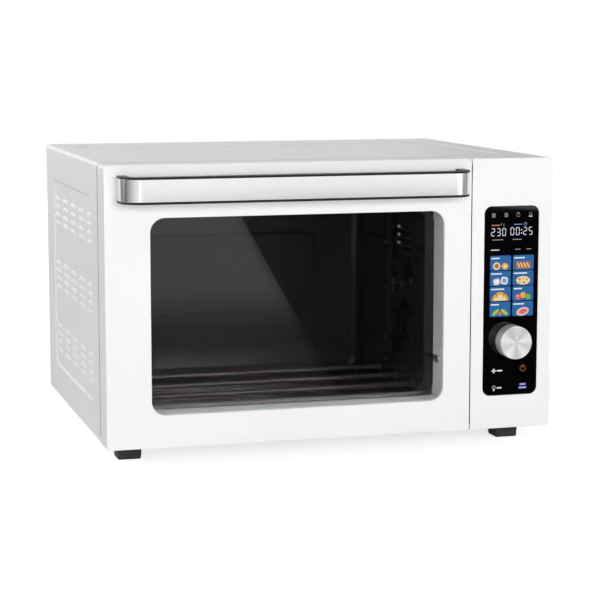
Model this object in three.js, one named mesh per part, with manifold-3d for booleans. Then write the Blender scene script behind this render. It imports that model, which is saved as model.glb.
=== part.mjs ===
// Mini oven with a drop-down glass door, a control column, a side fan and a rotisserie drive.
// Lengths are millimetres. While it is drawn, x runs right from the door's left edge, y runs back
// from the door's front face and z runs up from the underside of the case. The last group moves
// the oven so that the origin lies on the worktop under the middle of its box.
import * as THREE from 'three';
import { mergeVertices } from 'three/addons/utils/BufferGeometryUtils.js';
import { ConvexGeometry } from 'three/addons/geometries/ConvexGeometry.js';
import Module from 'manifold-3d';

// Clearances and working allowances
const fit = 0.3;
const overrun = 2;
const shaftFit = 0.3;
const weldTolerance = 0.0001;

// Sides of turned pieces, from the finest to the plainest
const knobSides = 32;
const drumSides = 20;
const bushSides = 16;
const collarSides = 14;
const rodSides = 12;
const heaterSides = 8;

// Case
const caseRight = 540;
const caseLeft = 1.9;
const caseHeight = 324;
const caseBack = 440;
const columnWidth = 101.6;
const columnGap = 1.2;
const sheet = 1;
const caseEdgeRadius = 8.5;
const doorToCaseGap = 3;
const sideRecessFront = 97;
const sideRecessRearMargin = 55;
const sideRecessBottom = 38;
const sideRecessTopMargin = 42;
const sideRecessDepth = 2;
const sideRecessRadius = 16;
const topRecessSideMargin = 30;
const topRecessFront = 83;
const topRecessRearMargin = 52;
const topRecessDepth = 2;
const topRecessRadius = 22;

// Pressed louvres in both sides
const louvreColumns = 5;
const louvreGroups = 3;
const louvreRows = 4;
const louvreFirstY = 118;
const louvreEndMargin = 23;
const louvreLength = 44;
const louvreFirstZ = 57.5;
const louvreTopMargin = 25.7;
const louvreRowPitch = 10.6;
const louvreRise = 6;
const louvreStandOff = 1.8;
const louvreEndTaper = 5;

// Feet
const footHeight = 22;
const footBottomWidth = 27;
const footTopWidth = 30;
const footCorner = 2;
const footInsetX = 35;
const footFrontY = 62;
const footRearInset = 41.5;

// Door
const doorThickness = 41;
const doorWall = 1.5;
const doorTopRadius = 8;
const doorBottomRadius = 2;
const doorEdgeBevel = 1;
const doorRearChamfer = 3.5;
const windowLeft = 52.2;
const windowRightMargin = 33.4;
const windowBottom = 37.4;
const windowTopMargin = 60.3;
const windowRadius = 17;
const glassThickness = 4;
const glassLap = 9;
const linerWall = 1.2;
const linerSetBack = 0.7;
const innerGlassSetBack = 1.2;

// Hinge and stays
const hingeY = 28;
const hingeZ = 10;
const doorTravel = 78;
const pinRadius = 4;
const bracketThickness = 3;
const bracketEyeRadius = 7;
const bracketBarHeight = 10;
const bracketReach = 47;
const bracketPlateHeight = 34;
const bracketStandOff = 9;
const hingeBlockWidth = 17;
const hingeBlockDepth = 20;
const hingeBlockHeight = 17;
const hingeBlockCorner = 1.5;
const stayStandOff = 4;
const stayThickness = 2;
const stayInnerRadius = 71;
const stayWidth = 7;
const stayHookHeight = 8;
const stayHookSpan = 3;
const staySlotFit = 1;
const stayLugFront = 18;
const stayLugBack = 35;
const stayLugDrop = 1;

// Handle
const handleLeft = 14.6;
const handleRightMargin = 10;
const handleReach = 40.5;
const handleBendRadius = 25;
const handleHeight = 30.3;
const handleTopMargin = 11.4;
const ribbonMargin = 2.2;
const ribbonThickness = 1.5;
const handleLegWidth = 10.5;
const handleThinDepth = 9;
const handleMiddleDepth = 13;
const handleThroatRadius = 10;
const handleSwellShare = 0.5;

// Front frame and cavity
const frameThickness = 1.2;
const frameSetBack = 0.9;
const cavityLeft = 35;
const cavityRightMargin = 16.2;
const cavityBottom = 12;
const cavityTopMargin = 32;
const cavityRearMargin = 50;
const rearPanDepth = 20;
const rearPanEdge = 10;
const rearPanCorner = 16;
const rearPressSideMargin = 60;
const rearPressBottom = 93;
const rearPressTopMargin = 88;
const rearPressDepth = 4;
const rearPressRadius = 20;
const cableWindowMargin = 20;
const cableWindowBottom = 60;
const cableWindowTopMargin = 64;
const cableWindowRadius = 8.5;

// Shelf rails pressed into the cavity's side walls
const railLevelShares = [0.125, 0.221, 0.464, 0.671];
const railHeight = 12;
const railCornerShare = 0.3;
const railReach = 7;
const railSlope = 3;
const railFrontStart = 56;
const railFrontEnd = 158;
const railRearStart = 258;
const railRearMargin = 38;

// Service recess of the right-hand wall, with the vent, the fan grille and the drive
const serviceFront = 165;
const serviceBack = 271;
const serviceBottom = 40;
const serviceTopMargin = 28;
const serviceDepth = 7;
const serviceRadius = 10;
const serviceY = 218;
const ventSlotLength = 60;
const ventSlotHeight = 4.6;
const ventSlotPitch = 10.6;
const ventSlotFirstZ = 169;
const ventTopMargin = 40;

// Convection fan
const fanZ = 98;
const grilleInset = 1;
const grilleRings = 3;
const grilleRingPitch = 8.5;
const grilleSlotWidth = 4.6;
const grilleArcs = 3;
const grilleRib = 5;
const fanHousingRadius = 40;
const fanHousingDepth = 24;
const fanFlangeMargin = 6;
const fanFlangeBottom = 50;
const fanFlangeTop = 143;
const impellerGap = 6;
const impellerHubRadius = 8;
const impellerBlades = 7;
const impellerBladeHeight = 11;
const impellerBladeThickness = 1.4;
const impellerDisc = 1;
const impellerBladeTurn = 0.5;
const impellerBowShare = 0.6;
const fanShaftRadius = 2.5;
const fanMotorWidth = 46;
const fanMotorHeight = 40;
const fanMotorDepth = 26;
const fanMotorCorner = 3;
const fanMotorCanEdge = 2;
const fanMotorCanRadius = 16;
const fanMotorCanDepth = 10;

// Rotisserie drive
const driveZ = 152;
const socketRadius = 8;
const socketLength = 14;
const socketGroove = 1.2;
const socketGrooves = 2;
const socketBore = 8;
const socketBoreDepth = 10;
const driveShaftRadius = 4;
const driveMotorRadius = 23;
const driveMotorDepth = 16;
const driveMotorSetBack = 28;
const driveBracketHalfWidth = 38;
const driveBracketHeight = 22;
const driveBracketRise = 3;
const driveShaftGap = 2;

// Lamp and temperature sensor
const lampY = 128;
const lampTopMargin = 34;
const lampRadius = 17;
const lampDome = 6;
const lampFlange = 3;
const lampGlass = 2;
const lampDomeSteps = 3;
const lampHolderDepth = 34;
const lampHolderRadius = 14;
const lampHolderFloor = 2;
const sensorY = 188;
const sensorZ = 157;
const sensorRadius = 2.5;
const sensorCollarRadius = 5;
const sensorCollar = 2;
const sensorReach = 10;
const sensorTail = 14;

// Heaters
const heaterRadius = 3.5;
const heaterStayGap = 1.8;
const heaterRearMargin = 97;
const heatersPerRow = 4;
const heaterRise = 18;
const heaterCollarRadius = 5;
const heaterCollarInside = 4;
const heaterCollarOutside = 6;
const heaterPinRadius = 2;
const heaterPinLength = 12;

// Control column
const columnWall = 2;
const columnFace = 4.5;
const columnTopRadius = 8.5;
const columnSmallRadius = 2;
const displayLeftMargin = 15.9;
const displayRightMargin = 17;
const displayBottom = 40.2;
const displayTopMargin = 56.9;
const displayRadius = 9;
const displayGlass = 2.4;
const displayLip = 4;
const displaySetBack = 0.2;
const moduleBottom = 132;
const moduleMargin = 2;
const moduleDepth = 4;
const boardThickness = 1.6;

// Knob and its encoder
const knobInset = 34.2;
const knobZ = 106;
const knobRadius = 19.75;
const knobFace = 20.5;
const knobGap = 0.6;
const knobEdge = 1.2;
const encoderWidth = 13;
const encoderBushRadius = 4.6;
const encoderShaftRadius = 3;
const encoderShaftReach = 15;
const encoderBoreDepth = 2;

// Power board
const powerBoardWidth = 74;
const powerBoardLength = 120;
const powerBoardSideMargin = 10;
const powerBoardRearMargin = 20;
const powerBoardRise = 9;
const powerPostRadius = 3;
const transformerSize = 34;
const transformerHeight = 27;
const relays = 3;
const relaySize = 18;
const relayWidth = 16;
const relayPitch = 22.5;
const capacitorRadius = 9;
const capacitorHeight = 23;
const capacitorInset = 24;

// Base pan and back panel
const baseFlange = 9;
const backPanelSetBack = 3;
const backSlots = 7;
const backSlotLength = 44;
const backSlotWidth = 4;
const backSlotPitch = 11;
const backSlotFirstZ = 180;
const backRowShares = [0.15, 0.5, 0.88];

// Cord gland
const glandSideMargin = 40;
const glandZ = 45;
const glandRadius = 8;
const glandFlangeRadius = 11;
const glandBoreRadius = 3.6;
const glandProjection = 8;
const glandFlange = 3;
const glandInside = 8;

// Places on the case that follow from the sizes above
const caseFront = doorThickness + doorToCaseGap;
const backFace = caseBack - backPanelSetBack;
const depthBehind = backFace + glandFlange + glandProjection;
const sideRecessBack = caseBack - sideRecessRearMargin;
const sideRecessTop = caseHeight - sideRecessTopMargin;
const topRecessRight = caseRight - topRecessSideMargin;
const topRecessBack = caseBack - topRecessRearMargin;
const louvreLastY = sideRecessBack - louvreEndMargin;
const louvrePitchY = (louvreLastY - louvreFirstY) / (louvreColumns - 1);
const louvreGroupHeight = (louvreRows - 1) * louvreRowPitch;
const louvreLastZ = sideRecessTop - louvreTopMargin - louvreGroupHeight;
const louvreGroupPitch = (louvreLastZ - louvreFirstZ) / (louvreGroups - 1);
const powerBoardRight = caseRight - powerBoardSideMargin;
const powerBoardLeft = powerBoardRight - powerBoardWidth;
const powerBoardBack = caseBack - powerBoardRearMargin;
const powerBoardFront = powerBoardBack - powerBoardLength;
const glandX = caseRight - glandSideMargin;

// Places on the column, the door and the handle
const columnLeft = caseRight - columnWidth;
const displayLeft = columnLeft + displayLeftMargin;
const displayRight = caseRight - displayRightMargin;
const displayTop = caseHeight - displayTopMargin;
const knobX = displayLeft + knobInset;
const doorWidth = columnLeft - columnGap;
const doorHeight = caseHeight;
const windowRight = doorWidth - windowRightMargin;
const windowTop = doorHeight - windowTopMargin;
const handleRight = doorWidth - handleRightMargin;
const handleTop = doorHeight - handleTopMargin;
const handleBottom = handleTop - handleHeight;

// Places in the cavity, and of what its walls and its front frame carry
const frameFront = caseFront + frameSetBack;
const frameBack = frameFront + frameThickness;
const cableWindowTop = caseHeight - cableWindowTopMargin;
const cavityFront = frameBack;
const cavityRight = doorWidth - cavityRightMargin;
const cavityTop = caseHeight - cavityTopMargin;
const cavityBack = caseBack - cavityRearMargin;
const cavityMiddleX = (cavityLeft + cavityRight) / 2;
const cavityHalfWidth = (cavityRight - cavityLeft) / 2;
const bracketOffset = cavityHalfWidth + bracketStandOff;
const stayOffset = cavityHalfWidth + stayStandOff;
const stayOuterRadius = stayInnerRadius + stayWidth;
const stayHookRadius = stayOuterRadius + stayHookHeight;
const stayLugBottom = hingeZ + stayInnerRadius - stayLugDrop;
const stayLugHeight = stayWidth + stayLugDrop;
const rearPressLeft = cavityLeft + rearPressSideMargin;
const rearPressRight = cavityRight - rearPressSideMargin;
const rearPressTop = cavityTop - rearPressTopMargin;
const railRearEnd = cavityBack - railRearMargin;
const heaterReach = stayInnerRadius - heaterCollarRadius - heaterStayGap;
const heaterHeight = cavityBottom + heaterRise - hingeZ;
const heaterY = hingeY + Math.sqrt(heaterReach ** 2 - heaterHeight ** 2);
const heaterPitch = (cavityBack - heaterRearMargin - heaterY) / (heatersPerRow - 1);
const lampZ = cavityTop - lampTopMargin;
const serviceWall = cavityRight + serviceDepth;
const serviceOuter = serviceWall + sheet;
const serviceTop = cavityTop - serviceTopMargin;
const impellerRadius = fanHousingRadius - impellerGap;
const grilleRadius = impellerRadius - grilleInset;
const ventRoom = serviceTop - ventTopMargin - ventSlotFirstZ;
const ventSlots = Math.floor(ventRoom / ventSlotPitch) + 1;
const turn = Math.PI * 2;
const quarter = Math.PI / 2;

const wasm = await Module();
wasm.setup();

// A manifold from a closed geometry
function solid(geometry) {
  const bare = geometry.index ? geometry.toNonIndexed() : geometry.clone();
  bare.deleteAttribute('normal');
  bare.deleteAttribute('uv');
  const merged = mergeVertices(bare, weldTolerance);
  const vertProperties = new Float32Array(merged.attributes.position.array);
  const triVerts = new Uint32Array(merged.index.array);
  return new wasm.Manifold(new wasm.Mesh({ numProp: 3, vertProperties, triVerts }));
}

function mesh(name, body, material) {
  const made = body.getMesh();
  const geometry = new THREE.BufferGeometry();
  geometry.setAttribute('position', new THREE.BufferAttribute(made.vertProperties, made.numProp));
  geometry.setIndex(new THREE.BufferAttribute(made.triVerts, 1));
  geometry.computeVertexNormals();
  const piece = new THREE.Mesh(geometry, material);
  piece.name = name;
  return piece;
}

function join(bodies) {
  return bodies.reduce((whole, body) => whole.add(body));
}

function cutAll(body, cutters) {
  return cutters.reduce((rest, cutter) => rest.subtract(cutter), body);
}

function box(x0, x1, y0, y1, z0, z1) {
  const geometry = new THREE.BoxGeometry(x1 - x0, y1 - y0, z1 - z0);
  geometry.translate((x0 + x1) / 2, (y0 + y1) / 2, (z0 + z1) / 2);
  return solid(geometry);
}

// A flat shape drawn in y and z, pulled from x0 to x1
function alongX(shape, x0, x1, segments = 3) {
  const geometry = new THREE.ExtrudeGeometry(shape, {
    depth: x1 - x0, bevelEnabled: false, curveSegments: segments,
  });
  geometry.applyMatrix4(new THREE.Matrix4().set(0, 0, 1, x0, 1, 0, 0, 0, 0, 1, 0, 0, 0, 0, 0, 1));
  return solid(geometry);
}

// A flat shape drawn in x and z, pulled from y0 to y1
function alongY(shape, y0, y1, segments = 3) {
  const geometry = new THREE.ExtrudeGeometry(shape, {
    depth: y1 - y0, bevelEnabled: false, curveSegments: segments,
  });
  geometry.rotateX(quarter);
  geometry.translate(0, y1, 0);
  return solid(geometry);
}

// A flat shape drawn in x and y, pulled from z0 to z1
function alongZ(shape, z0, z1, segments = 3) {
  const geometry = new THREE.ExtrudeGeometry(shape, {
    depth: z1 - z0, bevelEnabled: false, curveSegments: segments,
  });
  geometry.translate(0, 0, z0);
  return solid(geometry);
}

// A turned body about a line along x, from points of radius and x
function turnedX(points, y, z, segments) {
  const profile = points.map(([radius, x]) => new THREE.Vector2(radius, x));
  const geometry = new THREE.LatheGeometry(profile, segments);
  geometry.rotateZ(-quarter);
  geometry.translate(0, y, z);
  return solid(geometry);
}

// A turned body about a line along y, from points of radius and y
function turnedY(points, x, z, segments) {
  const profile = points.map(([radius, y]) => new THREE.Vector2(radius, y));
  const geometry = new THREE.LatheGeometry(profile, segments);
  geometry.translate(x, 0, z);
  return solid(geometry);
}

// A rectangle with a radius at each corner: lower left, lower right, upper right, upper left
function roundedRect(x0, x1, y0, y1, radii) {
  const [a, b, c, d] = Array.isArray(radii) ? radii : [radii, radii, radii, radii];
  const shape = new THREE.Shape();
  const corner = (x, y, radius, start) => {
    if (radius > 0) {
      shape.absarc(x, y, radius, start, start + quarter, false);
    } else {
      shape.lineTo(x, y);
    }
  };
  shape.moveTo(x0 + a, y0);
  corner(x1 - b, y0 + b, b, -quarter);
  corner(x1 - c, y1 - c, c, 0);
  corner(x0 + d, y1 - d, d, quarter);
  corner(x0 + a, y0 + a, a, quarter * 2);
  return shape;
}

function rect(x0, x1, y0, y1) {
  const shape = new THREE.Shape();
  shape.moveTo(x0, y0);
  shape.lineTo(x1, y0);
  shape.lineTo(x1, y1);
  shape.lineTo(x0, y1);
  shape.closePath();
  return shape;
}

// A rectangle with its four corners cut off at 45 degrees
function clippedRect(x0, x1, y0, y1, clip) {
  const shape = new THREE.Shape();
  shape.moveTo(x0 + clip, y0);
  shape.lineTo(x1 - clip, y0);
  shape.lineTo(x1, y0 + clip);
  shape.lineTo(x1, y1 - clip);
  shape.lineTo(x1 - clip, y1);
  shape.lineTo(x0 + clip, y1);
  shape.lineTo(x0, y1 - clip);
  shape.lineTo(x0, y0 + clip);
  shape.closePath();
  return shape;
}

// A rounded rectangle whose walls slope in by one step at each end
function slopedBlock(a0, a1, b0, b1, radius, slope, height, segments) {
  const shape = roundedRect(a0 + slope, a1 - slope, b0 + slope, b1 - slope, radius - slope);
  return new THREE.ExtrudeGeometry(shape, {
    depth: overrun, bevelEnabled: true, bevelThickness: height, bevelSize: slope,
    bevelSegments: 1, curveSegments: segments,
  });
}

// The same block standing along x: its small face lies at x = tip and it widens away from it
function pressX(y0, y1, z0, z1, radius, slope, height, tip, towards, segments = 2) {
  const geometry = slopedBlock(y0, y1, z0, z1, radius, slope, height, segments);
  const start = towards > 0 ? tip + height : tip - height - overrun;
  geometry.applyMatrix4(new THREE.Matrix4().set(0, 0, 1, start, 1, 0, 0, 0, 0, 1, 0, 0, 0, 0, 0, 1));
  return solid(geometry);
}

function pressY(x0, x1, z0, z1, radius, slope, height, tip, towards, segments = 2) {
  const geometry = slopedBlock(x0, x1, z0, z1, radius, slope, height, segments);
  geometry.rotateX(quarter);
  geometry.translate(0, towards > 0 ? tip + height + overrun : tip - height, 0);
  return solid(geometry);
}

function pressZ(x0, x1, y0, y1, radius, slope, height, tip, towards, segments = 2) {
  const geometry = slopedBlock(x0, x1, y0, y1, radius, slope, height, segments);
  geometry.translate(0, 0, towards > 0 ? tip + height : tip - height - overrun);
  return solid(geometry);
}

// A louvre hood or the mouth inside it: a wedge with drawn-in ends that leans out of a side wall
function louvreWedge(root, tip, y0, y1, z0, z1) {
  const points = [];
  for (const [y, inset] of [[y0, louvreEndTaper], [y1, -louvreEndTaper]]) {
    points.push(new THREE.Vector3(root, y, z0));
    points.push(new THREE.Vector3(root, y + inset, z1));
    points.push(new THREE.Vector3(tip, y + inset, z0));
  }
  return solid(new ConvexGeometry(points));
}

// All louvres of a side wall whose outer face is at x = face; outward is -1 left and 1 right
function louvres(face, outward) {
  const hoods = [];
  const mouths = [];
  const hoodRoot = face - outward * sheet / 2;
  const hoodTip = face + outward * louvreStandOff;
  const mouthRoot = face - outward * (sheet + overrun);
  const mouthTip = hoodTip - outward * sheet / 2;
  for (let column = 0; column < louvreColumns; column += 1) {
    for (let group = 0; group < louvreGroups; group += 1) {
      for (let row = 0; row < louvreRows; row += 1) {
        const y0 = louvreFirstY + column * louvrePitchY - louvreLength / 2;
        const y1 = y0 + louvreLength;
        const z = louvreFirstZ + group * louvreGroupPitch + row * louvreRowPitch;
        hoods.push(louvreWedge(hoodRoot, hoodTip, y0, y1, z, z + louvreRise));
        mouths.push(louvreWedge(mouthRoot, mouthTip, y0 + sheet, y1 - sheet, z, z + louvreRise));
      }
    }
  }
  return { hoods, mouths };
}

// Case parts
function outerCase(material) {
  const radii = [0, 0, caseEdgeRadius, caseEdgeRadius];
  const innerRadii = [0, 0, caseEdgeRadius - sheet, caseEdgeRadius - sheet];
  const outer = roundedRect(caseLeft, caseRight, 0, caseHeight, radii);
  const inner = roundedRect(caseLeft + sheet, caseRight - sheet, -overrun, caseHeight - sheet, innerRadii);
  const sideRecess = (face, towards) => pressX(
    sideRecessFront, sideRecessBack, sideRecessBottom, sideRecessTop,
    sideRecessRadius, sideRecessDepth, sideRecessDepth, face - towards * sideRecessDepth, towards,
  );
  const topRecess = (face) => pressZ(
    topRecessSideMargin, topRecessRight, topRecessFront, topRecessBack,
    topRecessRadius, topRecessDepth, topRecessDepth, face - topRecessDepth, 1,
  );
  const skin = cutAll(alongY(outer, caseFront, caseBack), [
    sideRecess(caseLeft, -1), sideRecess(caseRight, 1), topRecess(caseHeight),
  ]);
  const core = cutAll(alongY(inner, caseFront - overrun, caseBack + overrun), [
    sideRecess(caseLeft + sheet, -1), sideRecess(caseRight - sheet, 1), topRecess(caseHeight - sheet),
  ]);
  const left = louvres(caseLeft + sideRecessDepth, -1);
  const right = louvres(caseRight - sideRecessDepth, 1);
  const shell = skin.subtract(core);
  const hooded = shell.add(join([...left.hoods, ...right.hoods]));
  return mesh('outer_case', hooded.subtract(join([...left.mouths, ...right.mouths])), material);
}

function basePan(material) {
  const left = caseLeft + sheet + fit;
  const right = caseRight - sheet - fit;
  const front = frameBack + fit;
  const back = backFace - sheet - fit;
  const tray = box(left, right, front, back, 0, baseFlange);
  const hollow = box(
    left + sheet, right - sheet, front + sheet, back - sheet, sheet, baseFlange + overrun,
  );
  const notches = [-1, 1].map((side) => {
    const x = cavityMiddleX + side * bracketOffset;
    const half = bracketThickness / 2 + staySlotFit;
    return box(x - half, x + half, front - overrun, front + sheet + overrun, sheet, baseFlange + overrun);
  });
  return mesh('base_pan', cutAll(tray, [hollow, ...notches]), material);
}

// The outline of a plate that closes the case's front or back from inside
function caseEndShape() {
  const inset = sheet + fit;
  const radius = caseEdgeRadius - inset;
  return roundedRect(
    caseLeft + inset, caseRight - inset, fit, caseHeight - inset, [0, 0, radius, radius],
  );
}

// A slot with round ends
function slotShape(a0, a1, b, width) {
  const radius = width / 2;
  const shape = new THREE.Shape();
  shape.moveTo(a0 + radius, b - radius);
  shape.absarc(a1 - radius, b, radius, -quarter, quarter, false);
  shape.absarc(a0 + radius, b, radius, quarter, 3 * quarter, false);
  return shape;
}

function backPanel(material) {
  const plate = alongY(caseEndShape(), backFace - sheet, backFace);
  const cutters = [];
  for (const share of backRowShares) {
    const middle = caseLeft + share * (caseRight - caseLeft);
    const start = middle - backSlotLength / 2;
    for (let slot = 0; slot < backSlots; slot += 1) {
      const z = backSlotFirstZ + slot * backSlotPitch;
      const shape = slotShape(start, start + backSlotLength, z, backSlotWidth);
      cutters.push(alongY(shape, backFace - sheet - overrun, backFace + overrun, 1));
    }
  }
  const hole = turnedY([
    [0, backFace - sheet - overrun], [glandRadius + fit, backFace - sheet - overrun],
    [glandRadius + fit, backFace + overrun], [0, backFace + overrun],
  ], glandX, glandZ, collarSides);
  return mesh('back_panel', cutAll(plate, [join(cutters), hole]), material);
}

function cordGland(material) {
  const inner = backFace - sheet - glandInside;
  const outer = backFace + glandFlange + glandProjection;
  const profile = [
    [glandBoreRadius, inner], [glandRadius, inner], [glandRadius, backFace + fit],
    [glandFlangeRadius, backFace + fit], [glandFlangeRadius, backFace + glandFlange],
    [glandRadius, backFace + glandFlange], [glandBoreRadius + sheet, outer],
    [glandBoreRadius, outer], [glandBoreRadius, inner],
  ];
  return mesh('cord_gland', turnedY(profile, glandX, glandZ, collarSides), material);
}

function foot(name, x, y, material) {
  const ring = (width, z) => {
    const half = width / 2;
    const outline = clippedRect(x - half, x + half, y - half, y + half, footCorner);
    return outline.getPoints().map((p) => new THREE.Vector3(p.x, p.y, z));
  };
  const points = [...ring(footBottomWidth, -footHeight), ...ring(footTopWidth, 0)];
  return mesh(name, solid(new ConvexGeometry(points)), material);
}

function feet(material) {
  const places = [
    ['foot_front_left', footInsetX, footFrontY],
    ['foot_front_right', caseRight - footInsetX, footFrontY],
    ['foot_rear_left', footInsetX, caseBack - footRearInset],
    ['foot_rear_right', caseRight - footInsetX, caseBack - footRearInset],
  ];
  return places.map(([name, x, y]) => foot(name, x, y, material));
}

// Front frame, with the cavity's mouth and slots for the hinge brackets and the stays
function frontFrame(material) {
  const plate = alongY(caseEndShape(), frameFront, frameBack);
  const through = (shape) => alongY(shape, frameFront - overrun, frameBack + overrun, 2);
  const mouth = through(rect(cavityLeft, cavityRight, cavityBottom, cavityTop));
  const cables = through(roundedRect(
    columnLeft + cableWindowMargin, caseRight - sheet - fit - cableWindowMargin,
    cableWindowBottom, cableWindowTop, cableWindowRadius,
  ));
  const slots = [];
  for (const side of [-1, 1]) {
    const bracketX = cavityMiddleX + side * bracketOffset;
    const halfBracket = bracketThickness / 2 + staySlotFit;
    const barHalf = bracketBarHeight / 2 + staySlotFit;
    slots.push(through(rect(
      bracketX - halfBracket, bracketX + halfBracket, hingeZ - barHalf, hingeZ + barHalf,
    )));
    const stayX = cavityMiddleX + side * stayOffset;
    const halfStay = stayThickness / 2 + staySlotFit;
    const [low, high] = staySlotLevels();
    slots.push(through(rect(stayX - halfStay, stayX + halfStay, low, high)));
  }
  return mesh('front_frame', cutAll(plate, [mouth, cables, ...slots]), material);
}

function staySlotLevels() {
  const inner = Math.sqrt(stayInnerRadius ** 2 - (frameBack - hingeY) ** 2);
  const outer = Math.sqrt(stayOuterRadius ** 2 - (frameFront - hingeY) ** 2);
  return [hingeZ + inner - staySlotFit, hingeZ + outer + staySlotFit];
}

// Cavity walls
function railLevels() {
  return railLevelShares.map((share) => cavityBottom + share * (cavityTop - cavityBottom));
}

function rails(face, inward) {
  const shells = [];
  const hollows = [];
  const spans = [[railFrontStart, railFrontEnd], [railRearStart, railRearEnd]];
  for (const z of railLevels()) {
    for (const [y0, y1] of spans) {
      const tip = face + inward * railReach;
      shells.push(rail(y0, y1, z, 0, tip, inward).subtract(beyond(face - inward * sheet, -inward)));
      hollows.push(rail(y0, y1, z, sheet, tip - inward * sheet, inward));
    }
  }
  return { shells, hollows };
}

// One pressed rail: it narrows towards its tip by the slope of its walls
function rail(y0, y1, z, inset, tip, inward) {
  const ring = (x, slope) => {
    const shrink = inset + slope;
    const half = railHeight / 2 - shrink;
    const clip = railHeight * railCornerShare - shrink / 2;
    const outline = clippedRect(y0 + shrink, y1 - shrink, z - half, z + half, clip);
    return outline.getPoints().map((p) => new THREE.Vector3(x, p.x, p.y));
  };
  const foot = tip - inward * railReach;
  const root = foot - inward * (sheet + overrun);
  return solid(new ConvexGeometry([...ring(tip, railSlope), ...ring(foot, 0), ...ring(root, 0)]));
}

// Everything in the cavity's outline that lies beyond a plane across x
function beyond(x, towards) {
  const far = towards > 0 ? caseRight : 0;
  return box(
    Math.min(x, far), Math.max(x, far), cavityFront, cavityBack, cavityBottom, cavityTop,
  );
}

function heaterHoles(x0, x1) {
  const radius = heaterCollarRadius + fit;
  const profile = [[0, x0], [radius, x0], [radius, x1], [0, x1]];
  return heaterPlaces().map(({ y, z }) => turnedX(profile, y, z, heaterSides));
}

function cavityLeftWall(material) {
  const wall = box(cavityLeft - sheet, cavityLeft, cavityFront, cavityBack, cavityBottom, cavityTop);
  const { shells, hollows } = rails(cavityLeft, 1);
  const holes = heaterHoles(cavityLeft - sheet - overrun, cavityLeft + overrun);
  return mesh('cavity_left_wall', cutAll(join([wall, ...shells]), [...hollows, ...holes]), material);
}

function arcSlot(radius, width, from, to) {
  const shape = new THREE.Shape();
  const outer = radius + width / 2;
  const inner = radius - width / 2;
  shape.moveTo(serviceY + outer * Math.cos(from), fanZ + outer * Math.sin(from));
  shape.absarc(serviceY, fanZ, outer, from, to, false);
  shape.lineTo(serviceY + inner * Math.cos(to), fanZ + inner * Math.sin(to));
  shape.absarc(serviceY, fanZ, inner, to, from, true);
  return shape;
}

function fanGrille() {
  const slots = [];
  for (let ring = 0; ring < grilleRings; ring += 1) {
    const radius = grilleRadius - ring * grilleRingPitch;
    for (let arc = 0; arc < grilleArcs; arc += 1) {
      const middle = (arc + (ring % 2) / 2) * (turn / grilleArcs);
      const half = turn / grilleArcs / 2 - grilleRib / radius / 2;
      const shape = arcSlot(radius, grilleSlotWidth, middle - half, middle + half);
      slots.push(alongX(shape, serviceWall - overrun, serviceOuter + overrun, 2));
    }
  }
  return slots;
}

function roundHole(y, z, radius) {
  const x0 = cavityRight - overrun;
  const x1 = serviceOuter + overrun;
  return turnedX([[0, x0], [radius, x0], [radius, x1], [0, x1]], y, z, collarSides);
}

function cavityRightWall(material) {
  const wall = box(cavityRight, cavityRight + sheet, cavityFront, cavityBack, cavityBottom, cavityTop);
  const service = (tip) => pressX(
    serviceFront, serviceBack, serviceBottom, serviceTop,
    serviceRadius, serviceDepth, serviceDepth, tip, -1,
  );
  const pan = service(serviceOuter).subtract(beyond(cavityRight, -1));
  const air = service(serviceWall);
  const { shells, hollows } = rails(cavityRight, -1);
  const vents = [];
  for (let slot = 0; slot < ventSlots; slot += 1) {
    const z = ventSlotFirstZ + slot * ventSlotPitch;
    const shape = slotShape(
      serviceY - ventSlotLength / 2, serviceY + ventSlotLength / 2, z, ventSlotHeight,
    );
    vents.push(alongX(shape, serviceWall - overrun, serviceOuter + overrun, 1));
  }
  const openings = [
    ...fanGrille(), ...vents, ...heaterHoles(cavityRight - overrun, cavityRight + sheet + overrun),
    roundHole(serviceY, driveZ, driveShaftRadius + 2 * shaftFit),
    roundHole(sensorY, sensorZ, sensorRadius + fit),
    roundHole(lampY, lampZ, lampRadius - lampFlange),
  ];
  const dished = wall.add(pan).subtract(air);
  return mesh('cavity_right_wall', cutAll(join([dished, ...shells]), [...hollows, ...openings]), material);
}

function cavityCeiling(material) {
  const plate = box(
    cavityLeft - sheet, cavityRight + sheet, cavityFront, cavityBack, cavityTop, cavityTop + sheet,
  );
  return mesh('cavity_ceiling', plate, material);
}

function cavityFloor(material) {
  const plate = box(
    cavityLeft - sheet, cavityRight + sheet, cavityFront, cavityBack, cavityBottom - sheet, cavityBottom,
  );
  return mesh('cavity_floor', plate, material);
}

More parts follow.
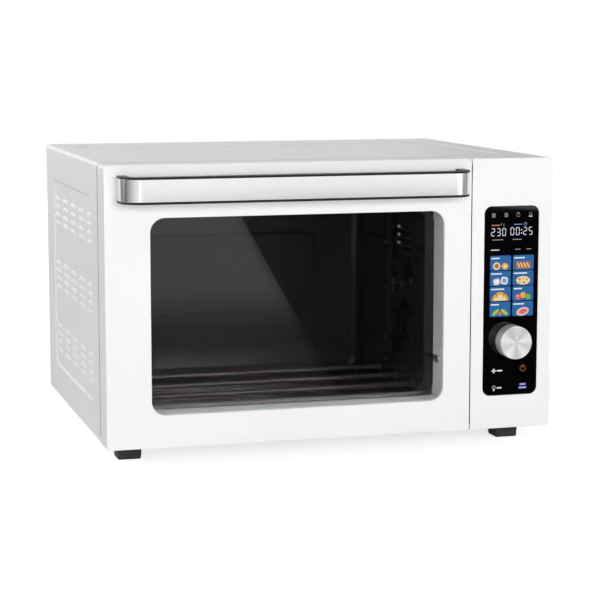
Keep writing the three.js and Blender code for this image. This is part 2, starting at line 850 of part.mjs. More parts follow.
// The cavity's rear wall is a shallow drawn pan with a rounded edge and a pressed rectangle
function cavityRearWall(material) {
  const pan = (grow, back, radius) => {
    const shape = roundedRect(
      cavityLeft + fit + grow + rearPanEdge, cavityRight - fit - grow - rearPanEdge,
      cavityBottom + fit + grow + rearPanEdge, cavityTop - fit - grow - rearPanEdge,
      rearPanCorner - rearPanEdge,
    );
    const geometry = new THREE.ExtrudeGeometry(shape, {
      depth: rearPanDepth, bevelEnabled: true, bevelThickness: radius, bevelSize: rearPanEdge,
      bevelSegments: 2, curveSegments: 2,
    });
    geometry.rotateX(quarter);
    geometry.translate(0, back - radius, 0);
    return solid(geometry).subtract(panTrim());
  };
  const panTrim = () => box(0, caseRight, 0, cavityBack - rearPanDepth, 0, caseHeight);
  const press = (tip) => pressY(
    rearPressLeft, rearPressRight, rearPressBottom, rearPressTop,
    rearPressRadius, rearPressDepth, rearPressDepth, tip, -1,
  );
  const outer = pan(0, cavityBack, rearPanEdge).add(press(cavityBack + rearPressDepth));
  const inner = pan(sheet, cavityBack - sheet, rearPanEdge).add(press(cavityBack + rearPressDepth - sheet));
  const opened = inner.add(box(
    cavityLeft + fit + sheet, cavityRight - fit - sheet, cavityBack - rearPanDepth - overrun,
    cavityBack - rearPanDepth + overrun, cavityBottom + fit + sheet, cavityTop - fit - sheet,
  ));
  return mesh('cavity_rear_wall', outer.subtract(opened), material);
}

// Heaters
function heaterPlaces() {
  const places = [];
  for (const [row, z] of [['bottom', cavityBottom + heaterRise], ['top', cavityTop - heaterRise]]) {
    for (let index = 0; index < heatersPerRow; index += 1) {
      places.push({ name: `heater_${row}_${index + 1}`, y: heaterY + index * heaterPitch, z });
    }
  }
  return places;
}

function heaters(material) {
  const rod0 = cavityLeft + heaterCollarInside;
  const rod1 = cavityRight - heaterCollarInside;
  const collar0 = cavityLeft - sheet - heaterCollarOutside;
  const collar1 = cavityRight + sheet + heaterCollarOutside;
  const profile = [
    [0, collar0 - heaterPinLength], [heaterPinRadius, collar0 - heaterPinLength],
    [heaterPinRadius, collar0], [heaterCollarRadius, collar0], [heaterCollarRadius, rod0],
    [heaterRadius, rod0], [heaterRadius, rod1], [heaterCollarRadius, rod1],
    [heaterCollarRadius, collar1], [heaterPinRadius, collar1],
    [heaterPinRadius, collar1 + heaterPinLength], [0, collar1 + heaterPinLength],
  ];
  return heaterPlaces().map(({ name, y, z }) => mesh(name, turnedX(profile, y, z, heaterSides), material));
}

// Door
function doorFrame(material) {
  const outline = roundedRect(
    doorEdgeBevel, doorWidth - doorEdgeBevel, doorEdgeBevel, doorHeight - doorEdgeBevel,
    [
      doorBottomRadius - doorEdgeBevel, doorBottomRadius - doorEdgeBevel,
      doorTopRadius - doorEdgeBevel, doorTopRadius - doorEdgeBevel,
    ],
  );
  const geometry = new THREE.ExtrudeGeometry(outline, {
    depth: doorThickness - 2 * doorEdgeBevel, bevelEnabled: true, bevelThickness: doorEdgeBevel,
    bevelSize: doorEdgeBevel, bevelSegments: 1, curveSegments: 2,
  });
  geometry.rotateX(quarter);
  geometry.translate(0, doorThickness - doorEdgeBevel, 0);
  const hollow = alongY(
    roundedRect(
      doorWall, doorWidth - doorWall, doorWall, doorHeight - doorWall,
      [doorBottomRadius - doorWall, doorBottomRadius - doorWall, doorTopRadius - doorWall,
        doorTopRadius - doorWall],
    ),
    doorWall, doorThickness + overrun,
  );
  const pane = alongY(windowShape(0), -overrun, doorWall + overrun, 3);
  const chamfer = new THREE.Shape();
  chamfer.moveTo(doorThickness + overrun, -overrun);
  chamfer.lineTo(doorThickness + overrun, doorRearChamfer + overrun);
  chamfer.lineTo(doorThickness - doorRearChamfer - overrun, -overrun);
  const slots = hingeXs().map((x) => {
    const half = bracketThickness / 2 + staySlotFit;
    return box(
      x - half, x + half, hingeY - bracketEyeRadius - staySlotFit, doorThickness + overrun,
      -overrun, doorWall + overrun,
    );
  });
  const cutters = [hollow, pane, alongX(chamfer, -overrun, doorWidth + overrun), ...slots];
  return mesh('door_frame', cutAll(solid(geometry), cutters), material);
}

function hingeXs() {
  return [cavityMiddleX - bracketOffset, cavityMiddleX + bracketOffset];
}

function windowShape(grow) {
  return roundedRect(
    windowLeft - grow, windowRight + grow, windowBottom - grow, windowTop + grow, windowRadius + grow,
  );
}

function doorGlassOuter(material) {
  const pane = alongY(windowShape(glassLap), doorWall, doorWall + glassThickness, 3);
  return mesh('door_glass_outer', pane, material);
}

// The grey liner: a square tube round the window and the flange that closes the door's back
function doorLiner(material) {
  const back = doorThickness - linerSetBack;
  const front = doorWall + glassThickness + fit;
  const flange = alongY(
    roundedRect(
      doorWall + fit, doorWidth - doorWall - fit, doorRearChamfer + doorWall, doorHeight - doorWall - fit,
      [0, 0, doorTopRadius, doorTopRadius],
    ),
    back - linerWall, back,
  );
  const tube = alongY(windowShape(linerWall), front, back, 3);
  const inside = alongY(windowShape(0), front - overrun, back + overrun, 3);
  const cutters = [inside];
  for (const side of [-1, 1]) {
    const x = cavityMiddleX + side * bracketOffset;
    const half = bracketThickness / 2 + staySlotFit;
    cutters.push(box(
      x - half, x + half, back - linerWall - overrun, back + overrun, 0,
      hingeZ + bracketEyeRadius + staySlotFit,
    ));
    const stayX = cavityMiddleX + side * stayOffset;
    const halfStay = stayThickness / 2 + staySlotFit;
    cutters.push(box(
      stayX - halfStay, stayX + halfStay, back - linerWall - overrun, back + overrun,
      stayLugBottom - staySlotFit * 2, stayLugBottom + stayLugHeight + staySlotFit * 2,
    ));
    const wall = side > 0 ? windowRight : windowLeft;
    cutters.push(box(
      wall - linerWall - overrun, wall + linerWall + overrun, stayLugFront - fit, stayLugBack + fit,
      stayLugBottom - fit, stayLugBottom + stayLugHeight + fit,
    ));
  }
  return mesh('door_liner', cutAll(flange.add(tube), cutters), material);
}

function doorGlassInner(material) {
  const back = doorThickness - innerGlassSetBack;
  return mesh('door_glass_inner', alongY(windowShape(-fit), back - glassThickness, back, 3), material);
}

// Handle: a black core and a steel ribbon bent round it
function handleOutline(inset) {
  const radius = handleBendRadius - inset;
  const left = handleLeft + inset;
  const right = handleRight - inset;
  const reach = handleReach - inset;
  const shape = new THREE.Shape();
  shape.moveTo(left, 0);
  shape.lineTo(right, 0);
  shape.lineTo(right, -(reach - radius));
  shape.absarc(right - radius, -(reach - radius), radius, 0, -quarter, true);
  shape.lineTo(left + radius, -reach);
  shape.absarc(left + radius, -(reach - radius), radius, -quarter, -2 * quarter, true);
  shape.closePath();
  return shape;
}

function handleThroat() {
  const left = handleLeft + handleLegWidth;
  const right = handleRight - handleLegWidth;
  const middle = (left + right) / 2;
  const thin = handleReach - handleThinDepth;
  const thick = handleReach - handleMiddleDepth;
  const radius = handleThroatRadius;
  const shape = new THREE.Shape();
  shape.moveTo(left, overrun);
  shape.lineTo(left, -(thin - radius));
  shape.absarc(left + radius, -(thin - radius), radius, 2 * quarter, 3 * quarter, false);
  const nearLeft = left + radius;
  const nearRight = right - radius;
  const swell = (middle - nearLeft) * handleSwellShare;
  shape.bezierCurveTo(nearLeft + swell, -thin, middle - swell, -thick, middle, -thick);
  shape.bezierCurveTo(middle + swell, -thick, nearRight - swell, -thin, nearRight, -thin);
  shape.absarc(right - radius, -(thin - radius), radius, 3 * quarter, 4 * quarter, false);
  shape.lineTo(right, overrun);
  shape.closePath();
  return shape;
}

function handleCore(material) {
  const throat = alongZ(handleThroat(), handleBottom - overrun, handleTop + overrun, 4);
  const whole = alongZ(handleOutline(0), handleBottom, handleTop, 4);
  const band = alongZ(handleOutline(-overrun), handleBottom + ribbonMargin, handleTop - ribbonMargin, 4)
    .subtract(alongZ(handleOutline(ribbonThickness + fit), handleBottom, handleTop, 4))
    .subtract(box(handleLeft, handleRight, 0, overrun * 2, handleBottom, handleTop));
  return mesh('handle_core', cutAll(whole, [throat, band]), material);
}

function handleFace(material) {
  const z0 = handleBottom + ribbonMargin + fit;
  const z1 = handleTop - ribbonMargin - fit;
  const inner = alongZ(handleOutline(ribbonThickness), z0 - overrun, z1 + overrun, 4);
  return mesh('handle_face', alongZ(handleOutline(0), z0, z1, 4).subtract(inner), material);
}

// Hinges
function hingeParts(side, word, steel, plastic) {
  const bracketX = cavityMiddleX + side * bracketOffset;
  const x0 = bracketX - bracketThickness / 2;
  const x1 = bracketX + bracketThickness / 2;
  const blockNear = side > 0 ? x0 - fit * 2 : x1 + fit * 2;
  const blockFar = blockNear - side * hingeBlockWidth;
  const pinEnd = side > 0 ? x1 + sheet : x0 - sheet;
  return [
    hingeBracket(`hinge_bracket_${word}`, x0, x1, steel),
    hingeBlock(`hinge_block_${word}`, Math.min(blockNear, blockFar), Math.max(blockNear, blockFar), plastic),
    hingePin(`hinge_pin_${word}`, Math.min(blockFar, pinEnd), Math.max(blockFar, pinEnd), steel),
  ];
}

function hingeBracket(name, x0, x1, material) {
  const half = bracketBarHeight / 2;
  const plateFront = frameBack + fit + sheet + fit;
  const end = hingeY + bracketReach;
  const eye = turnedX([
    [0, x0], [bracketEyeRadius, x0], [bracketEyeRadius, x1], [0, x1],
  ], hingeY, hingeZ, rodSides);
  const bar = box(x0, x1, hingeY, end, hingeZ - half, hingeZ + half);
  const plate = box(x0, x1, plateFront, end, sheet + fit, sheet + bracketPlateHeight);
  return mesh(name, cutAll(join([eye, bar, plate]), [pinBore(x0, x1)]), material);
}

function pinBore(x0, x1) {
  const radius = pinRadius + shaftFit;
  return turnedX([
    [0, x0 - overrun], [radius, x0 - overrun], [radius, x1 + overrun], [0, x1 + overrun],
  ], hingeY, hingeZ, rodSides);
}

function hingeBlock(name, x0, x1, material) {
  const back = doorThickness - linerSetBack - linerWall - fit;
  const bottom = doorWall + fit;
  const outline = clippedRect(
    back - hingeBlockDepth, back, bottom, bottom + hingeBlockHeight, hingeBlockCorner,
  );
  return mesh(name, alongX(outline, x0, x1).subtract(pinBore(x0, x1)), material);
}

function hingePin(name, x0, x1, material) {
  return mesh(name, turnedX([
    [0, x0], [pinRadius, x0], [pinRadius, x1], [0, x1],
  ], hingeY, hingeZ, rodSides), material);
}

// A stay: an arc about the hinge line that slides through the frame, its hook stops the door
function doorStay(name, side, material) {
  const x = cavityMiddleX + side * stayOffset;
  const x0 = x - stayThickness / 2;
  const x1 = x + stayThickness / 2;
  const stopAngle = Math.acos((frameBack + fit - hingeY) / stayOuterRadius);
  const hookStart = stopAngle - doorTravel * turn / 360;
  const hookEnd = hookStart - stayHookSpan * turn / 360;
  const arm = new THREE.Shape();
  arm.moveTo(hingeY + stayInnerRadius * Math.cos(hookEnd), hingeZ + stayInnerRadius * Math.sin(hookEnd));
  arm.lineTo(hingeY + stayHookRadius * Math.cos(hookEnd), hingeZ + stayHookRadius * Math.sin(hookEnd));
  arm.absarc(hingeY, hingeZ, stayHookRadius, hookEnd, hookStart, false);
  arm.lineTo(hingeY + stayOuterRadius * Math.cos(hookStart), hingeZ + stayOuterRadius * Math.sin(hookStart));
  arm.absarc(hingeY, hingeZ, stayOuterRadius, hookStart, quarter, false);
  arm.lineTo(hingeY, hingeZ + stayInnerRadius);
  arm.absarc(hingeY, hingeZ, stayInnerRadius, quarter, hookEnd, true);
  const inner = side > 0 ? windowRight - staySlotFit : windowLeft + staySlotFit;
  const lug = box(
    Math.min(inner, side > 0 ? x1 : x0), Math.max(inner, side > 0 ? x1 : x0),
    stayLugFront, stayLugBack, stayLugBottom, stayLugBottom + stayLugHeight,
  );
  return mesh(name, alongX(arm, x0, x1, 5).add(lug), material);
}

// Control column
function controlPanel(material) {
  const radii = [columnSmallRadius, columnSmallRadius, columnTopRadius, columnSmallRadius];
  const outline = roundedRect(
    columnLeft + doorEdgeBevel, caseRight - doorEdgeBevel, doorEdgeBevel, caseHeight - doorEdgeBevel,
    radii.map((radius) => radius - doorEdgeBevel),
  );
  const geometry = new THREE.ExtrudeGeometry(outline, {
    depth: caseFront, bevelEnabled: true, bevelThickness: doorEdgeBevel,
    bevelSize: doorEdgeBevel, bevelSegments: 1, curveSegments: 2,
  });
  geometry.rotateX(quarter);
  geometry.translate(0, caseFront + doorEdgeBevel, 0);
  const behind = box(
    columnLeft - overrun, caseRight + overrun, caseFront, caseFront + 2 * overrun, -overrun,
    caseHeight + overrun,
  );
  const hollow = alongY(
    roundedRect(
      columnLeft + columnWall, caseRight - columnWall, columnWall, caseHeight - columnWall,
      [0, 0, columnTopRadius - columnWall, 0],
    ),
    columnFace, caseFront + overrun,
  );
  const pocket = alongY(displayShape(fit), -overrun, displaySetBack + displayGlass + fit, 2);
  const hole = alongY(displayShape(-displayLip), -overrun, columnFace + overrun, 2);
  return mesh('control_panel', cutAll(solid(geometry), [behind, hollow, pocket, hole]), material);
}

function displayShape(grow) {
  return roundedRect(
    displayLeft - grow, displayRight + grow, displayBottom - grow, displayTop + grow,
    displayRadius + grow,
  );
}

function displayGlassPane(material) {
  const back = displaySetBack + displayGlass;
  const pane = alongY(displayShape(0), displaySetBack, back, 2);
  const hole = turnedY([
    [0, -overrun], [encoderBushRadius + fit, -overrun],
    [encoderBushRadius + fit, back + overrun], [0, back + overrun],
  ], knobX, knobZ, bushSides);
  return mesh('display_glass', pane.subtract(hole), material);
}

function displayModule(material) {
  const front = columnFace + fit;
  const body = box(
    displayLeft + moduleMargin, displayRight - moduleMargin, front, front + moduleDepth,
    moduleBottom, displayTop - moduleMargin,
  );
  return mesh('display_module', body, material);
}

function displayBoard(material) {
  const front = columnFace + fit + moduleDepth + fit;
  const board = box(
    displayLeft + moduleMargin, displayRight - moduleMargin, front, front + boardThickness,
    displayBottom + moduleMargin, displayTop - moduleMargin,
  );
  return mesh('display_board', board, material);
}

function encoderBody(material) {
  const front = columnFace + fit;
  const half = encoderWidth / 2;
  const block = box(
    knobX - half, knobX + half, front, front + moduleDepth, knobZ - half, knobZ + half,
  );
  const bush = turnedY([
    [0, displaySetBack], [encoderBushRadius, displaySetBack],
    [encoderBushRadius, front + sheet], [0, front + sheet],
  ], knobX, knobZ, bushSides);
  const bore = turnedY([
    [0, -overrun], [encoderShaftRadius + shaftFit, -overrun],
    [encoderShaftRadius + shaftFit, front + encoderBoreDepth], [0, front + encoderBoreDepth],
  ], knobX, knobZ, bushSides);
  return mesh('encoder_body', block.add(bush).subtract(bore), material);
}

function encoderShaft(material) {
  const back = columnFace + encoderBoreDepth;
  return mesh('encoder_shaft', turnedY([
    [0, -encoderShaftReach], [encoderShaftRadius, -encoderShaftReach],
    [encoderShaftRadius, back], [0, back],
  ], knobX, knobZ, bushSides), material);
}

function knob(material) {
  const bore = encoderShaftRadius + fit;
  const profile = [
    [0, -knobFace], [knobRadius - knobEdge, -knobFace], [knobRadius, -knobFace + knobEdge],
    [knobRadius, -knobGap - knobEdge], [knobRadius - knobEdge / 2, -knobGap], [bore, -knobGap],
    [bore, -encoderShaftReach - fit], [0, -encoderShaftReach - fit],
  ];
  return mesh('knob', turnedY(profile, knobX, knobZ, knobSides), material);
}

// Fan
function fanHousing(material) {
  const x0 = serviceOuter + fit;
  const x1 = x0 + fanHousingDepth;
  const cup = turnedX([
    [fanHousingRadius - sheet, x0], [fanHousingRadius, x0], [fanHousingRadius, x1],
    [fanShaftRadius + 2 * shaftFit, x1], [fanShaftRadius + 2 * shaftFit, x1 - sheet],
    [fanHousingRadius - sheet, x1 - sheet], [fanHousingRadius - sheet, x0],
  ], serviceY, fanZ, drumSides);
  const half = fanHousingRadius + fanFlangeMargin;
  const outline = rect(serviceY - half, serviceY + half, fanFlangeBottom, fanFlangeTop);
  const plate = alongX(outline, x0, x0 + sheet);
  const eye = turnedX([
    [0, x0 - overrun], [fanHousingRadius - sheet / 2, x0 - overrun],
    [fanHousingRadius - sheet / 2, x0 + sheet + overrun], [0, x0 + sheet + overrun],
  ], serviceY, fanZ, drumSides);
  return mesh('fan_housing', plate.subtract(eye).add(cup), material);
}

function fanImpeller(material) {
  const x0 = serviceOuter + fit + sheet + impellerDisc;
  const x1 = x0 + impellerBladeHeight;
  const hub = turnedX([
    [fanShaftRadius, x0], [impellerHubRadius, x0], [impellerHubRadius, x1 + impellerDisc],
    [fanShaftRadius, x1 + impellerDisc], [fanShaftRadius, x0],
  ], serviceY, fanZ, rodSides);
  const disc = turnedX([
    [impellerHubRadius - sheet, x1], [impellerRadius, x1], [impellerRadius, x1 + impellerDisc],
    [impellerHubRadius - sheet, x1 + impellerDisc], [impellerHubRadius - sheet, x1],
  ], serviceY, fanZ, drumSides);
  const blades = [];
  for (let blade = 0; blade < impellerBlades; blade += 1) {
    blades.push(alongX(impellerBlade(blade * turn / impellerBlades), x0, x1 + impellerDisc / 2, 3));
  }
  return mesh('fan_impeller', join([hub, disc, ...blades]), material);
}

// A blade's section: a curved strip from the hub out to the rim
function impellerBlade(angle) {
  const inner = impellerHubRadius - sheet / 2;
  const at = (radius, shift) => [
    serviceY + radius * Math.cos(angle + shift), fanZ + radius * Math.sin(angle + shift),
  ];
  const half = impellerBladeThickness / 2;
  const bow = impellerRadius * impellerBowShare;
  const shape = new THREE.Shape();
  shape.moveTo(...at(inner, -half / inner));
  shape.quadraticCurveTo(
    ...at(bow, -half / inner / 2), ...at(impellerRadius, impellerBladeTurn),
  );
  shape.lineTo(...at(impellerRadius, impellerBladeTurn + 2 * half / impellerRadius));
  shape.quadraticCurveTo(...at(bow, half / inner / 2), ...at(inner, half / inner));
  return shape;
}

function fanMotor(material) {
  const x0 = serviceOuter + fit + fanHousingDepth + fit;
  const x1 = x0 + fanMotorDepth;
  const core = alongX(clippedRect(
    serviceY - fanMotorWidth / 2, serviceY + fanMotorWidth / 2,
    fanZ - fanMotorHeight / 2, fanZ + fanMotorHeight / 2, fanMotorCorner,
  ), x0, x1);
  const can = turnedX([
    [0, x1 - sheet], [fanMotorCanRadius, x1 - sheet],
    [fanMotorCanRadius, x1 + fanMotorCanDepth - fanMotorCanEdge],
    [fanMotorCanRadius - fanMotorCanEdge, x1 + fanMotorCanDepth], [0, x1 + fanMotorCanDepth],
  ], serviceY, fanZ, rodSides);
  const bore = turnedX([
    [0, x0 - overrun], [fanShaftRadius + shaftFit, x0 - overrun],
    [fanShaftRadius + shaftFit, x1], [0, x1],
  ], serviceY, fanZ, rodSides);
  return mesh('fan_motor', core.add(can).subtract(bore), material);
}

function fanShaft(material) {
  const start = serviceOuter + fit + sheet + impellerDisc;
  const end = serviceOuter + fit + fanHousingDepth + fit + fanMotorDepth - fit;
  const radius = fanShaftRadius - fit / 2;
  return mesh('fan_shaft', turnedX([
    [0, start], [radius, start], [radius, end], [0, end],
  ], serviceY, fanZ, rodSides), material);
}

// Rotisserie drive
function driveMotorFront() {
  return serviceOuter + driveMotorSetBack;
}

function rotisserieSocket(material) {
  const front = serviceWall - fit - socketLength;
  const back = driveMotorFront() + driveMotorDepth - driveShaftGap;
  const step = socketLength / (socketGrooves * 2 + 1);
  const profile = [[0, front], [socketRadius, front]];
  for (let groove = 0; groove < socketGrooves; groove += 1) {
    const start = front + (2 * groove + 1) * step;
    profile.push([socketRadius, start], [socketRadius - socketGroove, start]);
    profile.push([socketRadius - socketGroove, start + step], [socketRadius, start + step]);
  }
  profile.push([socketRadius, serviceWall - fit], [driveShaftRadius, serviceWall - fit]);
  profile.push([driveShaftRadius, back], [0, back]);
  const half = socketBore / 2;
  const square = box(
    front - overrun, front + socketBoreDepth, serviceY - half, serviceY + half,
    driveZ - half, driveZ + half,
  );
  const turned = turnedX(profile, serviceY, driveZ, collarSides);
  return mesh('rotisserie_socket', turned.subtract(square), material);
}

function rotisserieMotor(material) {
  const x0 = driveMotorFront();
  const x1 = x0 + driveMotorDepth;
  const shaftBore = driveShaftRadius + shaftFit;
  return mesh('rotisserie_motor', turnedX([
    [shaftBore, x0], [driveMotorRadius - sheet, x0], [driveMotorRadius, x0 + sheet],
    [driveMotorRadius, x1 - sheet], [driveMotorRadius - sheet, x1], [0, x1],
    [0, x1 - sheet], [shaftBore, x1 - sheet], [shaftBore, x0],
  ], serviceY, driveZ, bushSides), material);
}

// The drive's bridge: a strap with two feet on the wall that carries the motor clear of the fan
function rotisserieBracket(material) {
  const x0 = serviceOuter + fit;
  const x1 = driveMotorFront() - fit;
  const z0 = driveZ - driveBracketHeight / 2 + driveBracketRise;
  const z1 = driveZ + driveBracketHeight / 2 + driveBracketRise;
  const y0 = serviceY - driveBracketHalfWidth;
  const y1 = serviceY + driveBracketHalfWidth;
  const block = box(x0, x1, y0, y1, z0, z1);
  const inside = box(x0 - overrun, x1 - sheet, y0 + sheet, y1 - sheet, z0 - overrun, z1 + overrun);
  const bore = turnedX([
    [0, x1 - sheet - overrun], [driveShaftRadius + 2 * shaftFit, x1 - sheet - overrun],
    [driveShaftRadius + 2 * shaftFit, x1 + overrun], [0, x1 + overrun],
  ], serviceY, driveZ, collarSides);
  return mesh('rotisserie_bracket', cutAll(block, [inside, bore]), material);
}

// Lamp: a glass dome over the hole in the wall and the lamp's holder behind it
function lampLens(material) {
  const face = cavityRight - fit;
  const neck = lampRadius - lampFlange - fit;
  const profile = [[0, face - lampDome]];
  for (let step = 1; step <= lampDomeSteps; step += 1) {
    const angle = step / lampDomeSteps * quarter;
    profile.push([neck * Math.sin(angle), face - lampGlass - (lampDome - lampGlass) * Math.cos(angle)]);
  }
  profile.push([lampRadius, face - lampGlass], [lampRadius, face], [neck, face]);
  profile.push([neck, face + sheet], [neck - lampGlass, face + sheet], [neck - lampGlass, face]);
  for (let step = lampDomeSteps - 1; step >= 0; step -= 1) {
    const angle = step / lampDomeSteps * quarter;
    const radius = (neck - lampGlass) * Math.sin(angle);
    profile.push([radius, face - (lampDome - lampGlass) * Math.cos(angle)]);
  }
  return mesh('lamp_lens', turnedX(profile, lampY, lampZ, collarSides), material);
}

function lampHolder(material) {
  const face = cavityRight + sheet + fit;
  const back = face + lampHolderDepth;
  return mesh('lamp_holder', turnedX([
    [lampHolderRadius, face], [lampRadius, face], [lampRadius, face + sheet],
    [lampHolderRadius + sheet, face + 2 * sheet], [lampHolderRadius + sheet, back],
    [0, back], [0, back - lampHolderFloor], [lampHolderRadius, back - lampHolderFloor],
    [lampHolderRadius, face],
  ], lampY, lampZ, collarSides), material);
}

function temperatureSensor(material) {
  const collar = serviceWall - fit;
  return mesh('temperature_sensor', turnedX([
    [0, collar - sensorCollar - sensorReach], [sensorRadius, collar - sensorCollar - sensorReach],
    [sensorRadius, collar - sensorCollar], [sensorCollarRadius, collar - sensorCollar],
    [sensorCollarRadius, collar], [sensorRadius, collar], [sensorRadius, serviceOuter + sensorTail],
    [0, serviceOuter + sensorTail],
  ], sensorY, sensorZ, rodSides), material);
}

// Power board on four posts, with its transformer, relays and capacitor
function powerBoard(material) {
  const x0 = powerBoardLeft;
  const x1 = powerBoardRight;
  const y0 = powerBoardFront;
  const y1 = powerBoardBack;
  const z0 = sheet + fit + powerBoardRise;
  const z1 = z0 + boardThickness;
  const board = box(x0, x1, y0, y1, z0, z1);
  const inset = 2 * powerPostRadius;
  const posts = [];
  for (const x of [x0 + inset, x1 - inset]) {
    for (const y of [y0 + inset, y1 - inset]) {
      posts.push(box(
        x - powerPostRadius, x + powerPostRadius, y - powerPostRadius, y + powerPostRadius,
        sheet, z0 + boardThickness / 2,
      ));
    }
  }
  const seat = z1 - boardThickness / 2;
  const transformer = box(
    x0 + inset * 2, x0 + inset * 2 + transformerSize, y1 - inset - transformerSize, y1 - inset,
    seat, z1 + transformerHeight,
  );
  const blocks = [];
  for (let relay = 0; relay < relays; relay += 1) {
    const start = y0 + inset * 2 + relay * relayPitch;
    blocks.push(box(
      x1 - inset - relaySize, x1 - inset, start, start + relayWidth, seat, z1 + relaySize,
    ));
  }
  const drum = new THREE.Shape();
  drum.absarc(x0 + capacitorInset, y0 + capacitorInset, capacitorRadius, 0, turn, false);
  const capacitor = alongZ(drum, seat, z1 + capacitorHeight, rodSides / 2);
  return mesh('power_board', join([board, ...posts, transformer, ...blocks, capacitor]), material);
}

// Finishes
function finish(color, roughness, metalness, options = {}) {
  return new THREE.MeshStandardMaterial({ color, roughness, metalness, ...options });
}

const whiteEnamel = finish(0xf4f4f2, 0.35, 0);
const greyLiner = finish(0xb4b6b8, 0.45, 0.6);
const galvanised = finish(0xa9adb0, 0.4, 0.9);
const darkCavity = finish(0x6d7072, 0.35, 0.9);
const blackPlastic = finish(0x1b1b1c, 0.45, 0);
const brushedSteel = finish(0xc9c8c6, 0.3, 1);
const zincSteel = finish(0x9fa3a6, 0.4, 0.9);
const clearGlass = finish(0x30343a, 0.05, 0, { transparent: true, opacity: 0.4 });
const blackGlass = finish(0x08090b, 0.05, 0);
const greenBoard = finish(0x1f5b34, 0.6, 0);
const heaterSheath = finish(0x6b4a41, 0.5, 0.6);
const ceramic = finish(0xe6e0d2, 0.8, 0);
const motorSteel = finish(0x7b7f83, 0.5, 0.8);

const oven = new THREE.Group();

const body = new THREE.Group();
body.add(outerCase(whiteEnamel));
body.add(basePan(galvanised));
body.add(backPanel(galvanised));
body.add(cordGland(blackPlastic));
body.add(...feet(blackPlastic));
body.add(frontFrame(greyLiner));
body.add(cavityLeftWall(darkCavity));
body.add(cavityRightWall(darkCavity));
body.add(cavityCeiling(darkCavity));
body.add(cavityFloor(darkCavity));
body.add(cavityRearWall(darkCavity));
body.add(...heaters(heaterSheath));
body.add(lampLens(clearGlass));
body.add(lampHolder(ceramic));
body.add(temperatureSensor(zincSteel));
oven.add(body);

const door = new THREE.Group();
door.add(doorFrame(whiteEnamel));
door.add(doorGlassOuter(clearGlass));
door.add(doorLiner(greyLiner));
door.add(doorGlassInner(clearGlass));
door.add(handleCore(blackPlastic));
door.add(handleFace(brushedSteel));
door.add(doorStay('door_stay_left', -1, zincSteel));
door.add(doorStay('door_stay_right', 1, zincSteel));
door.add(...hingeParts(-1, 'left', zincSteel, blackPlastic));
door.add(...hingeParts(1, 'right', zincSteel, blackPlastic));
oven.add(door);

const column = new THREE.Group();
column.add(controlPanel(whiteEnamel));
column.add(displayGlassPane(blackGlass));
column.add(displayModule(blackPlastic));
column.add(displayBoard(greenBoard));
column.add(encoderBody(zincSteel));
column.add(encoderShaft(zincSteel));
column.add(knob(brushedSteel));
column.add(powerBoard(greenBoard));
oven.add(column);

const drives = new THREE.Group();
drives.add(fanHousing(galvanised));
drives.add(fanImpeller(galvanised));
drives.add(fanShaft(zincSteel));
drives.add(fanMotor(motorSteel));
drives.add(rotisserieSocket(zincSteel));
drives.add(rotisserieBracket(galvanised));
drives.add(rotisserieMotor(motorSteel));
oven.add(drives);

oven.position.set(-caseRight / 2, -(depthBehind - handleReach) / 2, footHeight);

export default oven;
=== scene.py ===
"""Looks of a mini oven with a drop-down glass door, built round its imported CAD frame.

Lengths are metres in the row frame. A drawn place is measured from the lower left front corner
of the door: x runs right, y runs back and z runs up.
"""

import logging
import math
from dataclasses import dataclass, replace
from enum import Enum
from typing import Callable, Optional, Sequence

import bmesh
import bpy
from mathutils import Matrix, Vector


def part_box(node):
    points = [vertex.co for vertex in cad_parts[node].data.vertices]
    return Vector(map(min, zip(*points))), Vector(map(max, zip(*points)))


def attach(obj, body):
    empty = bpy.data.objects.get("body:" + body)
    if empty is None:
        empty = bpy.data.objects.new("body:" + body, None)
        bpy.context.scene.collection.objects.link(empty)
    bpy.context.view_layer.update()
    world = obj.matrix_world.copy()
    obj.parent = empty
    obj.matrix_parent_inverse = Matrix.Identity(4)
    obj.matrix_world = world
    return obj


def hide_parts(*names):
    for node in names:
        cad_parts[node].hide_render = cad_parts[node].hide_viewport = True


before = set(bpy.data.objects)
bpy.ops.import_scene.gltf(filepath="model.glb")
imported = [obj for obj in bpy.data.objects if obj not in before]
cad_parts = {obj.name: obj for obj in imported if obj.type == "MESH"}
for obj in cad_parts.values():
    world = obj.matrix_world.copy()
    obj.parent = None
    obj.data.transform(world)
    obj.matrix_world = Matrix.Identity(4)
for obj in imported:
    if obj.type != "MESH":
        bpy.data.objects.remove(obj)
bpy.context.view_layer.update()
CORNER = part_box("door_frame")[0]

Colour = tuple[float, float, float]
Span = tuple[float, float]
Point = tuple[float, float, float]
Where = Callable[[Vector], bool]
Test = Callable[[Vector, Vector], bool]
Material = bpy.types.Material
Socket = bpy.types.NodeSocket

# The least angle, in degrees, of the edges that are rounded on pressed, folded and square work.
PRESSED = 20.0
FOLDED = 40.0
SQUARE = 50.0

MILLIMETRES = 1000  # in a metre

log = logging.getLogger("mini_oven")


class Axis(Enum):
    """The three axes of the row frame."""

    X = 0
    Y = 1
    Z = 2

    @property
    def unit(self) -> Vector:
        """The unit vector along this axis."""
        return Vector(tuple(float(index == self.value) for index in range(3)))

    @property
    def radial(self) -> Vector:
        """A unit vector square to this axis."""
        return Vector((1.0, 0.0, 0.0)) if self is Axis.Z else Vector((0.0, 0.0, 1.0))


class Side(Enum):
    """The left or right side of the oven, by its direction along x."""

    LEFT = -1
    RIGHT = 1

    @property
    def word(self) -> str:
        """The side's name in lower case."""
        return self.name.lower()


class Body(Enum):
    """The moving bodies of the CAD model."""

    CASE = "case"
    DOOR = "door"
    KNOB = "control_knob"
    FAN = "fan_rotor"
    SPIT = "spit_drive"


